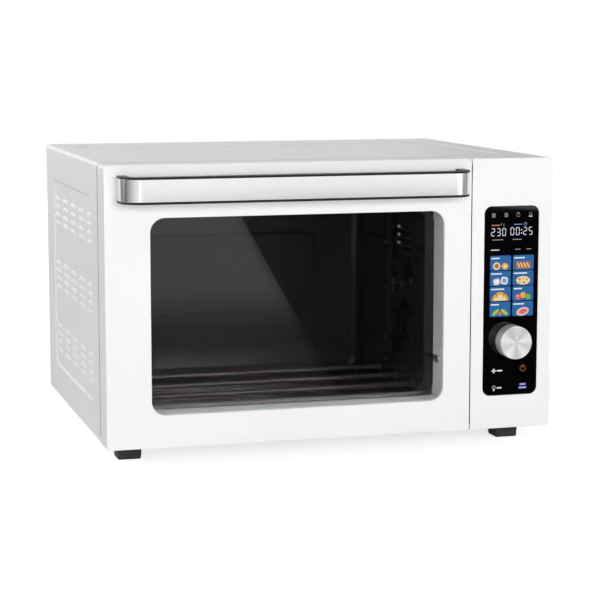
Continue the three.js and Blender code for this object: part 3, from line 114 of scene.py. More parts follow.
class Slot(Enum):
    """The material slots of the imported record."""

    ENAMEL = "white_enamel"
    LINER = "grey_liner"
    GALVANISED = "galvanised"
    CAVITY = "cavity_steel"
    PLASTIC = "black_plastic"
    BRUSHED = "brushed_steel"
    TURNED = "turned_aluminium"
    ZINC = "zinc_steel"
    GLASS = "door_glass"
    LAMP = "lamp_glass"
    DISPLAY = "display_panel"
    SHEATH = "heater_sheath"
    CERAMIC = "ceramic"


@dataclass(frozen=True)
class Box:
    """A box in the row frame, in metres."""

    lo: Vector
    hi: Vector

    @classmethod
    def of(cls, node: str) -> "Box":
        """The box of a CAD node at rest."""
        return cls(*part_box(node))

    @classmethod
    def within(cls, x: Span, y: Span, z: Span) -> "Box":
        """A box given by its ends along the three axes."""
        return cls(*(Vector(corner) for corner in zip(x, y, z)))

    @classmethod
    def drawn(cls, x: Span, y: Span, z: Span) -> "Box":
        """A box given by its spans from the door's corner."""
        return cls(*(drawn(*corner) for corner in zip(x, y, z)))

    @property
    def centre(self) -> Vector:
        """The middle of the box."""
        return (self.lo + self.hi) / 2

    @property
    def size(self) -> Vector:
        """The lengths of the box along the three axes."""
        return self.hi - self.lo

    def grown(self, x: float = 0.0, y: float = 0.0, z: float = 0.0) -> "Box":
        """A box that is larger by the given amounts at both ends."""
        step = Vector((x, y, z))
        return Box(self.lo - step, self.hi + step)

    def spanning(self, axis: Axis, low: float, high: float) -> "Box":
        """The same box with other ends along one axis."""
        lo, hi = self.lo.copy(), self.hi.copy()
        lo[axis.value], hi[axis.value] = low, high
        return Box(lo, hi)

    def core(self, wall: float, front: float, back: float) -> "Box":
        """The box with its sides moved inwards by a wall, from one depth to another."""
        return self.grown(x=-wall, z=-wall).spanning(Axis.Y, front, back)

    def middle(self, axis: Axis, place: float) -> Vector:
        """The middle of the box, moved along an axis to a given place."""
        point = self.centre
        point[axis.value] = place
        return point


def drawn(x: float, y: float, z: float) -> Vector:
    """A point given by its distances from the door's corner."""
    return CORNER + Vector((x, y, z))


def clear_selection() -> None:
    """Leaves object mode with nothing selected."""
    if bpy.context.mode != "OBJECT":
        bpy.ops.object.mode_set(mode="OBJECT")
    bpy.ops.object.select_all(action="DESELECT")


def link(thing: bpy.types.Object) -> None:
    """Puts an object into the scene."""
    bpy.context.scene.collection.objects.link(thing)


def upper_half(box: Box) -> Where:
    """Picks the edges in the upper half of a box."""
    return lambda middle: middle.z > box.centre.z


def front_half(box: Box) -> Where:
    """Picks the edges in the front half of a box."""
    return lambda middle: middle.y < box.centre.y


def along(axis: Axis, where: Optional[Where] = None) -> Test:
    """A test for edges that run along an axis.

    Args:
        axis: the axis the edge runs along.
        where: a further test of the edge's middle.

    Returns:
        A test of an edge's middle and direction.
    """
    def test(middle: Vector, direction: Vector) -> bool:
        """Tells whether one edge runs along the axis."""
        return abs(direction[axis.value]) > 0.99 and (where is None or where(middle))
    return test


def facing(direction: Vector) -> Test:
    """A test for faces whose normal points in a direction."""
    def test(_middle: Vector, normal: Vector) -> bool:
        """Tells whether one face looks that way."""
        return normal.dot(direction) > 0.99
    return test


class Bench:
    """One piece on the bench, shaped with Blender's own modelling operators."""

    def __init__(self, name: str) -> None:
        """Takes the active object and puts its place and size into its mesh.

        Args:
            name: the name of the piece.
        """
        self.piece = bpy.context.object
        self.piece.name = name
        self.piece.data.name = name
        bpy.ops.object.transform_apply(location=True, rotation=True, scale=True)

    @classmethod
    def block(cls, name: str, box: Box) -> "Bench":
        """A plain block to start from."""
        clear_selection()
        bpy.ops.mesh.primitive_cube_add(size=1.0, location=box.centre)
        bpy.context.object.scale = box.size
        return cls(name)

    @classmethod
    def rounded(
        cls, name: str, box: Box, axis: Axis, radius: float, steps: int = 8,
        where: Optional[Where] = None,
    ) -> "Bench":
        """A block with rounded edges along one axis.

        Args:
            name: the name of the piece.
            box: the outside of the block.
            axis: the axis the rounded edges run along.
            radius: the radius of those edges.
            steps: the faces of each round edge.
            where: picks some of the four edges by their middles.

        Returns:
            The block on the bench.
        """
        return cls.block(name, box).bevel(along(axis, where), radius, steps)

    @classmethod
    def disc(cls, name: str, axis: Axis, centre: Vector, radius: float, length: float,
             sides: int = 32) -> "Bench":
        """A round bar, centred on a point and lying along an axis."""
        clear_selection()
        quarter = math.pi / 2
        turn = {Axis.X: (0.0, quarter, 0.0), Axis.Y: (quarter, 0.0, 0.0), Axis.Z: (0.0, 0.0, 0.0)}
        bpy.ops.mesh.primitive_cylinder_add(
            vertices=sides, radius=radius, depth=length, location=centre, rotation=turn[axis],
        )
        return cls(name)

    @classmethod
    def ball(cls, name: str, centre: Vector, radii: Vector, segments: int, rings: int) -> "Bench":
        """An ellipsoid whose poles lie along y."""
        clear_selection()
        bpy.ops.mesh.primitive_uv_sphere_add(
            segments=segments, ring_count=rings, radius=1.0, location=centre,
            rotation=(math.pi / 2, 0.0, 0.0),
        )
        bpy.context.object.scale = (radii.x, radii.z, radii.y)
        return cls(name)

    @classmethod
    def turned(cls, name: str, axis: Axis, centre: Vector, profile: Sequence[Span],
               steps: int = 40) -> "Bench":
        """A body spun from a profile.

        Args:
            name: the name of the piece.
            axis: the axis the body is spun about.
            centre: a point on that axis.
            profile: radius and place along the axis, from the centre, of each point.
            steps: the sides of the round body.

        Returns:
            The closed body on the bench.
        """
        points = [axis.radial * radius + axis.unit * place for radius, place in profile]
        clear_selection()
        bpy.ops.mesh.primitive_plane_add(size=1.0, location=(0.0, 0.0, 0.0))
        bench = cls(name)
        bpy.ops.object.mode_set(mode="EDIT")
        bpy.ops.mesh.select_mode(type="VERT")
        skin = bmesh.from_edit_mesh(bench.piece.data)
        start = list(skin.verts)[0]
        bmesh.ops.delete(skin, geom=[v for v in skin.verts if v is not start], context="VERTS")
        start.co = centre + points[0]
        start.select_set(True)
        bmesh.update_edit_mesh(bench.piece.data)
        for before, after in zip(points, points[1:]):
            bpy.ops.mesh.extrude_region_move(TRANSFORM_OT_translate={"value": after - before})
        bpy.ops.mesh.select_all(action="SELECT")
        bpy.ops.mesh.spin(steps=steps, angle=2 * math.pi, center=centre, axis=axis.unit)
        return bench.mended()

    @classmethod
    def of_node(cls, node: str, name: str) -> "Bench":
        """A copy of a CAD node's mesh, merged into one skin."""
        clear_selection()
        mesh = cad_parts[node].data.copy()
        mesh.materials.clear()
        copy = bpy.data.objects.new(name, mesh)
        link(copy)
        bpy.context.view_layer.objects.active = copy
        copy.select_set(True)
        bench = cls(name)
        bpy.ops.mesh.customdata_custom_splitnormals_clear()
        bench._enter("SELECT")
        bpy.ops.mesh.remove_doubles(threshold=1e-6)
        return bench._leave()

    @classmethod
    def stand_in(
        cls, node: str, name: str, finish: Material, body: Body, slot: Slot,
        edge: float, steps: int = 2, angle: float = 30.0,
    ) -> None:
        """Puts a copy of a CAD node, with rounded edges, in the node's place.

        Args:
            node: the CAD node.
            name: the name of the piece.
            finish: the material of the piece.
            body: the CAD body that it rides on.
            slot: the record's material slot.
            edge: the width of the rounded edges.
            steps: the faces of each round edge.
            angle: the least angle, in degrees, of the edges that are rounded.
        """
        cls.of_node(node, name).soften(edge, steps, angle).done(finish, body, slot, node)

    def mended(self) -> "Bench":
        """Merges doubles and turns all faces outwards."""
        self._enter("SELECT")
        bpy.ops.mesh.remove_doubles(threshold=1e-6)
        bpy.ops.mesh.normals_make_consistent(inside=False)
        return self._leave()

    def _activate(self) -> None:
        """Makes this piece the only selected and active one."""
        clear_selection()
        self.piece.select_set(True)
        bpy.context.view_layer.objects.active = self.piece

    def _enter(self, action: str = "DESELECT") -> None:
        """Opens the piece in edit mode with nothing or all of it selected."""
        if bpy.context.mode != "EDIT_MESH" or bpy.context.object is not self.piece:
            self._activate()
            bpy.ops.object.mode_set(mode="EDIT")
        bpy.ops.mesh.select_all(action=action)

    def _leave(self) -> "Bench":
        """Closes edit mode."""
        bpy.ops.object.mode_set(mode="OBJECT")
        return self

    def _pick(self, kind: str, test: Test) -> None:
        """Selects edges by their middle and direction, or faces by their middle and normal."""
        self._enter()
        bpy.ops.mesh.select_mode(type=kind)
        skin = bmesh.from_edit_mesh(self.piece.data)
        for part in skin.edges if kind == "EDGE" else skin.faces:
            if kind == "FACE":
                picked = test(part.calc_center_median(), part.normal)
            else:
                a, b = (vert.co for vert in part.verts)
                picked = (b - a).length > 0 and test((a + b) / 2, (b - a).normalized())
            if picked:
                part.select_set(True)
        bmesh.update_edit_mesh(self.piece.data)

    def bevel(self, test: Test, width: float, steps: int) -> "Bench":
        """Rounds the edges that a test picks."""
        self._pick("EDGE", test)
        bpy.ops.mesh.bevel(offset=width, segments=steps, affect="EDGES", clamp_overlap=True)
        return self._leave()

    def resize(self, test: Test, factors: Vector, about: Vector) -> "Bench":
        """Scales the faces that a test picks about a point."""
        self._pick("FACE", test)
        bpy.ops.transform.resize(value=factors, center_override=about)
        return self._leave()

    def open(self, test: Test) -> "Bench":
        """Deletes the faces that a test picks."""
        self._pick("FACE", test)
        bpy.ops.mesh.delete(type="FACE")
        return self._leave()

    def halve(self, point: Vector, keep: Vector, fill: bool = False) -> "Bench":
        """Cuts the piece at a plane and keeps what lies towards a direction."""
        self._enter("SELECT")
        bpy.ops.mesh.bisect(plane_co=point, plane_no=keep, clear_inner=True, use_fill=fill)
        return self._leave()

    def slice(self, axis: Axis, places: Sequence[float]) -> "Bench":
        """Adds edge rings across an axis at several places."""
        for place in places:
            self._enter("SELECT")
            bpy.ops.mesh.bisect(plane_co=axis.unit * place, plane_no=axis.unit)
        return self._leave()

    def shape(self, rule: Callable[[Vector], Vector]) -> "Bench":
        """Moves each vertex by a rule."""
        for vertex in self.piece.data.vertices:
            vertex.co = rule(vertex.co)
        return self

    def _applied(self, kind: str, **settings: object) -> "Bench":
        """Adds one modifier and applies it."""
        self._activate()
        modifier = self.piece.modifiers.new(kind.lower(), kind)
        for key, value in settings.items():
            setattr(modifier, key, value)
        bpy.ops.object.modifier_apply(modifier=modifier.name)
        return self

    def cut(self, *cutters: "Bench") -> "Bench":
        """Takes the cutters' room out of the piece."""
        for cutter in cutters:
            self._applied("BOOLEAN", operation="DIFFERENCE", object=cutter.piece, solver="EXACT")
            cutter.scrap()
        return self

    def fuse(self, *others: "Bench") -> "Bench":
        """Makes one skin of this piece and the others."""
        for other in others:
            self._applied("BOOLEAN", operation="UNION", object=other.piece, solver="EXACT")
            other.scrap()
        return self

    def gather(self, *others: "Bench") -> "Bench":
        """Makes one piece of this one and others that keep their own skins."""
        self._activate()
        for other in others:
            other.piece.select_set(True)
        if others:
            bpy.ops.object.join()
        return self

    def copies(self, places: Sequence[Vector]) -> "Bench":
        """Repeats the piece at several offsets from where it was made, each copy with its mesh."""
        made = []
        for place in places:
            copy = self.piece.copy()
            copy.data = self.piece.data.copy()
            for vertex in copy.data.vertices:
                vertex.co += place
            link(copy)
            made.append(copy)
        name = self.piece.name
        self.scrap()
        clear_selection()
        for copy in made:
            copy.select_set(True)
        bpy.context.view_layer.objects.active = made[0]
        if len(made) > 1:
            bpy.ops.object.join()
        return Bench(name)

    def repeat(self, count: int, step: Vector) -> "Bench":
        """Repeats the piece in a row."""
        return self._applied(
            "ARRAY", count=count, use_relative_offset=False, use_constant_offset=True,
            constant_offset_displace=step,
        )

    def soften(self, width: float, steps: int = 2, angle: float = 30.0) -> "Bench":
        """Rounds all edges sharper than an angle in degrees."""
        return self._applied(
            "BEVEL", width=width, segments=steps, limit_method="ANGLE",
            angle_limit=math.radians(angle), miter_outer="MITER_ARC", use_clamp_overlap=True,
        )

    def thicken(self, wall: float) -> "Bench":
        """Gives an open skin its wall, inwards."""
        return self._applied("SOLIDIFY", thickness=wall, offset=-1.0, use_even_offset=True)

    def smooth(self, angle: float = 32.0) -> "Bench":
        """Shades round faces smooth and keeps flat faces flat."""
        self._activate()
        bpy.ops.object.shade_smooth_by_angle(angle=math.radians(angle))
        return self._applied("WEIGHTED_NORMAL", keep_sharp=True, weight=80)

    def scrap(self) -> None:
        """Throws the piece away."""
        bpy.data.meshes.remove(self.piece.data, do_unlink=True)

    def done(self, finish: Material, body: Body, slot: Slot, *nodes: str) -> None:
        """Shades and dresses the piece and gives it to its CAD body.

        Args:
            finish: the material of the piece.
            body: the CAD body that it rides on.
            slot: the record's material slot; not used.
            nodes: the CAD nodes that it stands for.
        """
        self.smooth()
        self.piece.data.materials.clear()
        self.piece.data.materials.append(finish)
        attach(self.piece, body.value)
        if nodes:
            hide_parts(*nodes)
        log.info("%s: %d faces", self.piece.name, len(self.piece.data.polygons))


class Graph:
    """The shader nodes of one material or of the world."""

    def __init__(self, name: str, world: Optional[bpy.types.World] = None) -> None:
        """Starts an empty material, or empties a world.

        Args:
            name: the name of the material.
            world: the world, where the nodes are the world's.
        """
        self.material = world or bpy.data.materials.new(name)
        self.material.use_nodes = True
        self.tree = self.material.node_tree
        self.tree.nodes.clear()
        self.output = self.tree.nodes.new("ShaderNodeOutput" + ("World" if world else "Material"))

    def add(self, kind: str, inputs: Optional[dict] = None, **settings: object) -> bpy.types.Node:
        """Adds a node with its settings, and sets or links its inputs."""
        node = self.tree.nodes.new(kind)
        for key, value in settings.items():
            setattr(node, key, value)
        for key, value in (inputs or {}).items():
            if isinstance(value, Socket):
                self.tree.links.new(value, node.inputs[key])
            else:
                node.inputs[key].default_value = value
        return node

    def place(self, scale: Point = (1.0, 1.0, 1.0), move: Point = (0.0, 0.0, 0.0)) -> Socket:
        """Object coordinates, moved and scaled."""
        return self.add("ShaderNodeMapping", {
            "Vector": self.add("ShaderNodeTexCoord").outputs["Object"], "Scale": scale, "Location": move,
        }).outputs["Vector"]

    def parts(self, vector: Socket) -> bpy.types.bpy_prop_collection:
        """The three numbers of a vector."""
        return self.add("ShaderNodeSeparateXYZ", {"Vector": vector}).outputs

    def math(self, operation: str, *values: object) -> Socket:
        """The result of one reckoning with patterns and numbers."""
        return self.add("ShaderNodeMath", dict(enumerate(values)), operation=operation).outputs["Value"]

    def noise(self, vector: Socket, scale: float, detail: float = 3.0, grit: float = 0.5) -> Socket:
        """A soft random pattern."""
        return self.add("ShaderNodeTexNoise", {
            "Vector": vector, "Scale": scale, "Detail": detail, "Roughness": grit,
        }).outputs["Fac"]

    def waves(self, vector: Socket, scale: float, distortion: float, **settings: str) -> Socket:
        """A pattern of rings or bands."""
        return self.add("ShaderNodeTexWave", {
            "Vector": vector, "Scale": scale, "Distortion": distortion,
        }, **settings).outputs["Fac"]

    def cells(self, vector: Socket, scale: float) -> Socket:
        """A random tone in each cell of a crystal pattern."""
        cell = self.add("ShaderNodeTexVoronoi", {"Vector": vector, "Scale": scale})
        return self.add("ShaderNodeSeparateColor", {"Color": cell.outputs["Color"]}).outputs["Red"]

    def spread(
        self, value: Socket, low: float, high: float, start: float = 0.3, end: float = 0.7,
    ) -> Socket:
        """Maps a pattern onto a range of values."""
        return self.add("ShaderNodeMapRange", {
            "Value": value, "From Min": start, "From Max": end, "To Min": low, "To Max": high,
        }).outputs["Result"]

    def about(self, value: Socket, middle: float, swing: float, *ends: float) -> Socket:
        """Maps a pattern onto a range round a middle value."""
        return self.spread(value, middle - swing, middle + swing, *ends)

    def tones(
        self, value: Socket, dark: Colour, light: Colour, start: float = 0.3, end: float = 0.7,
    ) -> Socket:
        """Maps a pattern onto two colours."""
        ramp = self.add("ShaderNodeValToRGB", {"Fac": value})
        for stop, place, colour in zip(ramp.color_ramp.elements, (start, end), (dark, light)):
            stop.position = place
            stop.color = opaque(colour)
        return ramp.outputs["Color"]

    def swung(self, value: Socket, colour: Colour, swing: float, *ends: float) -> Socket:
        """Maps a pattern onto a darker and a lighter tone of a colour."""
        return self.tones(value, shaded(colour, 1 - swing), shaded(colour, 1 + swing), *ends)

    def bump(self, height: Socket, depth: float) -> Socket:
        """A relief of a given depth in metres."""
        return self.add("ShaderNodeBump", {"Height": height, "Distance": depth}).outputs["Normal"]

    def glow(self, strength: object) -> Socket:
        """Plain white light of a given strength."""
        return self.add("ShaderNodeEmission", {"Strength": strength}).outputs["Emission"]

    def principled(self, **inputs: object) -> None:
        """Ends in the main shader; underscores in the inputs' names stand for spaces."""
        named = {key.replace("_", " "): value for key, value in inputs.items()}
        self.finish(self.add("ShaderNodeBsdfPrincipled", named).outputs["BSDF"])

    def finish(self, shader: Socket) -> None:
        """Sends a shader to the surface."""
        self.tree.links.new(shader, self.output.inputs["Surface"])


def shaded(colour: Colour, factor: float) -> Colour:
    """A colour made lighter or darker by a factor."""
    return tuple(min(1.0, channel * factor) for channel in colour)


def opaque(colour: Colour) -> tuple[float, float, float, float]:
    """A colour with full alpha."""
    return (*colour, 1.0)


@dataclass(frozen=True)
class Finish:
    """A finish with its main colour. Each kind draws its own surface."""

    name: str
    colour: Colour

    def build(self) -> Material:
        """Makes the material."""
        graph = Graph(self.name)
        self.draw(graph)
        return graph.material

    def draw(self, graph: Graph) -> None:
        """Draws the surface."""
        raise NotImplementedError


@dataclass(frozen=True)
class Enamel(Finish):
    """Satin powder coat with a faint orange peel."""

    roughness: float = 0.42
    variation: float = 0.012
    peel_scale: float = 620.0
    peel_depth: float = 0.00006
    patch_scale: float = 9.0
    gloss_swing: float = 0.03

    def draw(self, graph: Graph) -> None:
        """Draws the coat."""
        where = graph.place()
        patch = graph.noise(where, self.patch_scale)
        graph.principled(
            Base_Color=graph.swung(patch, self.colour, self.variation),
            Roughness=graph.about(patch, self.roughness, self.gloss_swing),
            Normal=graph.bump(graph.noise(where, self.peel_scale, 1.0), self.peel_depth),
        )


@dataclass(frozen=True)
class Spangled(Finish):
    """Galvanised sheet with its crystal spangle."""

    roughness: float = 0.36
    spangle_scale: float = 150.0
    tone_swing: float = 0.06
    gloss_swing: float = 0.06
    wipe_scale: float = 26.0
    wipe_depth: float = 0.00004

    def draw(self, graph: Graph) -> None:
        """Draws the spangle and its wiped relief."""
        where = graph.place()
        spangle = graph.cells(where, self.spangle_scale)
        graph.principled(
            Base_Color=graph.swung(spangle, self.colour, self.tone_swing, 0.0, 1.0),
            Metallic=1.0,
            Roughness=graph.about(spangle, self.roughness, self.gloss_swing, 0.0, 1.0),
            Normal=graph.bump(graph.noise(where, self.wipe_scale, 4.0), self.wipe_depth),
        )


@dataclass(frozen=True)
class RolledSteel(Finish):
    """Bright rolled sheet with a cloudy film of heat haze and the faint waves of pressing."""

    haze: Colour
    roughness: float = 0.2
    haze_scale: float = 9.0
    gloss_swing: float = 0.04
    wave_scale: float = 14.0
    wave_depth: float = 0.00005
    metal: float = 1.0

    def draw(self, graph: Graph) -> None:
        """Draws the haze and the waves."""
        where = graph.place()
        haze = graph.noise(where, self.haze_scale)
        graph.principled(
            Base_Color=graph.tones(haze, self.colour, self.haze),
            Metallic=self.metal,
            Roughness=graph.about(haze, self.roughness, self.gloss_swing),
            Normal=graph.bump(graph.noise(where, self.wave_scale, 1.0), self.wave_depth),
        )


@dataclass(frozen=True)
class BrushedSteel(Finish):
    """Stainless steel brushed along x."""

    roughness: float = 0.34
    grain: Point = (14.0, 900.0, 900.0)
    grain_scale: float = 3.0
    tone_swing: float = 0.05
    gloss_swing: float = 0.05
    grain_depth: float = 0.00002
    anisotropy: float = 0.55

    def draw(self, graph: Graph) -> None:
        """Draws the grain."""
        grain = graph.noise(graph.place(self.grain), self.grain_scale, 3.0, 0.6)
        graph.principled(
            Base_Color=graph.swung(grain, self.colour, self.tone_swing),
            Metallic=1.0,
            Roughness=graph.about(grain, self.roughness, self.gloss_swing),
            Anisotropic=self.anisotropy,
            Normal=graph.bump(grain, self.grain_depth),
        )


@dataclass(frozen=True)
class SpunAluminium(Finish):
    """Aluminium turned about y, with fine rings and a painted reflection: light and dark wedges round
    the axis in its colour, standing in for a spun face's highlights.
    """

    centre: Vector
    # The next three fields set the painted reflection wedges: their count, their turn and their
    # strength.
    painted_sheen_sectors: float = 5.0
    painted_sheen_sector_turn: float = 1.5708
    painted_sheen_sector_swing: float = 0.2
    ring_scale: float = 260.0
    roughness: float = 0.38
    gloss_swing: float = 0.05
    anisotropy: float = 0.8
    metal: float = 0.45

    def draw(self, graph: Graph) -> None:
        """Draws the rings and the painted reflection wedges."""
        where = graph.place(move=tuple(-self.centre))
        rings = graph.waves(where, self.ring_scale, 0.0, wave_type="RINGS", rings_direction="Y")
        # Painted reflection: the colour turns lighter and darker in wedges round the axis, standing in
        # for a spun face's highlights.
        parts = graph.parts(where)
        angle = graph.math("ARCTAN2", parts["X"], parts["Z"])
        painted_sheen_sector = graph.math("SINE", graph.math("MULTIPLY_ADD", angle, self.painted_sheen_sectors, self.painted_sheen_sector_turn))
        light = graph.spread(painted_sheen_sector, 0.0, 1.0, -1.0, 1.0)
        graph.principled(
            Base_Color=graph.swung(light, self.colour, self.painted_sheen_sector_swing, 0.0, 1.0),
            Metallic=self.metal,
            Roughness=graph.about(rings, self.roughness, self.gloss_swing, 0.0, 1.0),
            Anisotropic=self.anisotropy,
            Tangent=graph.add("ShaderNodeTangent", direction_type="RADIAL", axis="Y").outputs["Tangent"],
        )


@dataclass(frozen=True)
class Moulded(Finish):
    """Moulded plastic, rubber or ceramic with a fine eroded texture."""

    roughness: float = 0.45
    texture_scale: float = 1500.0
    texture_depth: float = 0.00005
    wear_scale: float = 30.0
    tone_swing: float = 0.12
    gloss_swing: float = 0.05
    specular: float = 0.5

    def draw(self, graph: Graph) -> None:
        """Draws the texture and its wear."""
        where = graph.place()
        wear = graph.noise(where, self.wear_scale, 4.0)
        graph.principled(
            Base_Color=graph.swung(wear, self.colour, self.tone_swing),
            Roughness=graph.about(wear, self.roughness, self.gloss_swing),
            Specular_IOR_Level=self.specular,
            Normal=graph.bump(graph.noise(where, self.texture_scale, 2.0), self.texture_depth),
        )


@dataclass(frozen=True)
class Pane(Finish):
    """Toughened glass that lets the light through to what lies behind it."""

    roughness: float = 0.0
    haze_scale: float = 12.0
    haze_swing: float = 0.012
    refraction: float = 1.5

    def draw(self, graph: Graph) -> None:
        """Draws the glass and the light that it lets through."""
        haze = graph.noise(graph.place(), self.haze_scale)
        tint = opaque(self.colour)
        glass = graph.add("ShaderNodeBsdfPrincipled", {
            "Base Color": tint, "Transmission Weight": 1.0, "IOR": self.refraction,
            "Roughness": graph.spread(haze, self.roughness, self.roughness + self.haze_swing),
        })
        clear = graph.add("ShaderNodeBsdfTransparent", {"Color": tint})
        graph.finish(graph.add("ShaderNodeMixShader", {
            0: graph.add("ShaderNodeLightPath").outputs["Is Shadow Ray"],
            1: glass.outputs["BSDF"], 2: clear.outputs["BSDF"],
        }).outputs["Shader"])


@dataclass(frozen=True)
class BlackGlass(Finish):
    """Glass printed black behind, with the faintest film of dust."""

    roughness: float = 0.035
    film_scale: float = 18.0
    film_swing: float = 0.02
    film_tone: float = 1.6

    def draw(self, graph: Graph) -> None:
        """Draws the print and the film."""
        film = graph.noise(graph.place(), self.film_scale, 4.0)
        graph.principled(
            Base_Color=graph.tones(film, self.colour, shaded(self.colour, self.film_tone)),
            Roughness=graph.spread(film, self.roughness, self.roughness + self.film_swing),
        )


@dataclass(frozen=True)
class Lit(Finish):
    """A lit field of the display with the fine grid of its picture dots."""

    strength: float = 1.0
    dot_scale: float = 2600.0
    dot_swing: float = 0.06
    roughness: float = 0.1

    def draw(self, graph: Graph) -> None:
        """Draws the light and the dots."""
        dots = graph.noise(graph.place(), self.dot_scale, 1.0)
        graph.principled(
            Base_Color=opaque((0.0, 0.0, 0.0)),
            Roughness=self.roughness,
            Emission_Color=graph.swung(dots, self.colour, self.dot_swing),
            Emission_Strength=self.strength,
        )


@dataclass(frozen=True)
class HeatedSheath(Finish):
    """A heater's steel tube, browned in patches by its heat."""

    browned: Colour
    roughness: float = 0.42
    patch: Point = (18.0, 60.0, 60.0)
    patch_scale: float = 2.0
    scale_depth: float = 0.00001
    gloss_swing: float = 0.03
    metal: float = 0.7

    def draw(self, graph: Graph) -> None:
        """Draws the patches."""
        patch = graph.noise(graph.place(self.patch), self.patch_scale, 5.0, 0.6)
        graph.principled(
            Base_Color=graph.tones(patch, self.colour, self.browned),
            Metallic=self.metal,
            Roughness=graph.about(patch, self.roughness, self.gloss_swing),
            Normal=graph.bump(patch, self.scale_depth),
        )


@dataclass(frozen=True)
class BoardLaminate(Finish):
    """A circuit board with its copper tracks under green lacquer."""

    track: Colour
    track_scale: float = 130.0
    track_width: float = 0.03
    field: Span = (1.4, 0.5)
    field_tone: float = 1.3
    roughness: float = 0.35
    track_depth: float = 0.00008

    def draw(self, graph: Graph) -> None:
        """Draws the tracks."""
        tracks = graph.add("ShaderNodeTexBrick", {
            "Vector": graph.place(), "Scale": self.track_scale, "Color1": opaque(self.colour),
            "Color2": opaque(shaded(self.colour, self.field_tone)), "Mortar": opaque(self.track),
            "Mortar Size": self.track_width, "Brick Width": self.field[0], "Row Height": self.field[1],
        }).outputs
        graph.principled(
            Base_Color=tracks["Color"], Roughness=self.roughness,
            Normal=graph.bump(tracks["Fac"], self.track_depth),
        )


@dataclass(frozen=True)
class Laminated(Finish):
    """Motor iron with its stacked sheets across x."""

    sheet_scale: float = 300.0
    waver: float = 0.6
    roughness: float = 0.4
    tone_swing: float = 0.2
    sheet_depth: float = 0.0001

    def draw(self, graph: Graph) -> None:
        """Draws the sheets."""
        sheets = graph.waves(
            graph.place(), self.sheet_scale, self.waver, wave_type="BANDS", bands_direction="X",
        )
        graph.principled(
            Base_Color=graph.swung(sheets, self.colour, self.tone_swing, 0.0, 1.0),
            Metallic=1.0, Roughness=self.roughness, Normal=graph.bump(sheets, self.sheet_depth),
        )


class Finishes:
    """All finishes of the oven, each made once."""

    def __init__(self) -> None:
        """Builds the materials."""
        self.enamel = Enamel("white_enamel", (0.86, 0.862, 0.862)).build()
        self.liner = Enamel("grey_liner", (0.62, 0.62, 0.62), 0.35, 0.05).build()
        self.galvanised = Spangled("galvanised_sheet", (0.58, 0.6, 0.61)).build()
        self.cavity = RolledSteel(
            "cavity_steel", (0.17, 0.17, 0.167), (0.15, 0.149, 0.144), 0.18, metal=0.5,
        ).build()
        self.floor = RolledSteel(
            "cavity_floor_steel", (0.27, 0.265, 0.255), (0.23, 0.223, 0.213), 0.17, wave_depth=0.00002,
        ).build()
        self.plastic = Moulded("black_plastic", (0.008, 0.008, 0.009), 0.48).build()
        self.rubber = Moulded("foot_rubber", (0.028, 0.028, 0.03), 0.55).build()
        # Painted shade: a black sheet set in the seam gaps, where there is only shade.
        self.seam_shade = Moulded("seam_shade_rubber", (0.012, 0.012, 0.013), 0.85, specular=0.12).build()
        self.ribbon = BrushedSteel(
            "handle_steel", (0.84, 0.84, 0.84), 0.14, tone_swing=0.03, gloss_swing=0.02,
            grain_depth=0.000006, anisotropy=0.2,
        ).build()
        self.knob = SpunAluminium("knob_aluminium", (0.93, 0.93, 0.93), Box.of("knob").centre).build()
        self.zinc = BrushedSteel("zinc_plate", (0.62, 0.62, 0.58), 0.3, (60.0, 60.0, 60.0)).build()
        self.outer_glass = Pane("outer_glass", (0.93, 0.94, 0.94)).build()
        self.inner_glass = Pane("inner_glass", (0.43, 0.433, 0.436)).build()
        self.lamp_glass = Pane("lamp_glass", (0.88, 0.9, 0.9), 0.12).build()
        self.display = BlackGlass(
            "display_glass", (0.0012, 0.0012, 0.0014), 0.02, film_swing=0.01,
        ).build()
        self.module = BlackGlass("display_module", (0.03, 0.03, 0.035), 0.2).build()
        self.board = BoardLaminate("circuit_board", (0.02, 0.1, 0.045), (0.05, 0.22, 0.09)).build()
        self.sheath = HeatedSheath(
            "heater_sheath", (0.52, 0.4, 0.385), (0.46, 0.345, 0.33), 0.38,
        ).build()
        self.ceramic = Moulded("ceramic", (0.72, 0.69, 0.6), 0.6, tone_swing=0.05).build()
        self.motor = Laminated("motor_iron", (0.36, 0.37, 0.39)).build()


@dataclass
class Screws:
    """Pan-head screws with a cross recess, all heads of one panel in one piece.

    The dome's points are shares of the head's radius and height.
    """

    radius: float = 0.0032
    height: float = 0.0012
    dome: tuple[Span, ...] = ((1.0, 0.35), (0.86, 0.75), (0.55, 1.0), (0.0, 1.0))
    recess_width: float = 0.0008
    recess_length: float = 0.0034
    sink: float = 0.0006

    def build(self, name: str, axis: Axis, sign: int, places: Sequence[Vector]) -> Bench:
        """Makes the heads of one panel.

        Args:
            name: the name of the piece.
            axis: the axis of the screws.
            sign: the way along it that the heads look.
            places: where the heads sit on the sheet.

        Returns:
            The joined heads on the bench.
        """
        root = (self.radius, -self.sink)
        dome = [(self.radius * share, self.height * rise) for share, rise in self.dome]
        profile = [(radius, sign * place) for radius, place in (root, *dome, (0.0, -self.sink), root)]
        head = Bench.turned(name, axis, Vector(), profile, 20)
        middle = axis.unit * sign * self.height
        for long_axis in (other for other in Axis if other is not axis):
            slot = long_axis.unit * self.recess_length + axis.unit * self.height
            size = Vector(tuple(value or self.recess_width for value in slot)) / 2
            head.cut(Bench.block("cross", Box(middle - size, middle + size)))
        return head.copies(places)


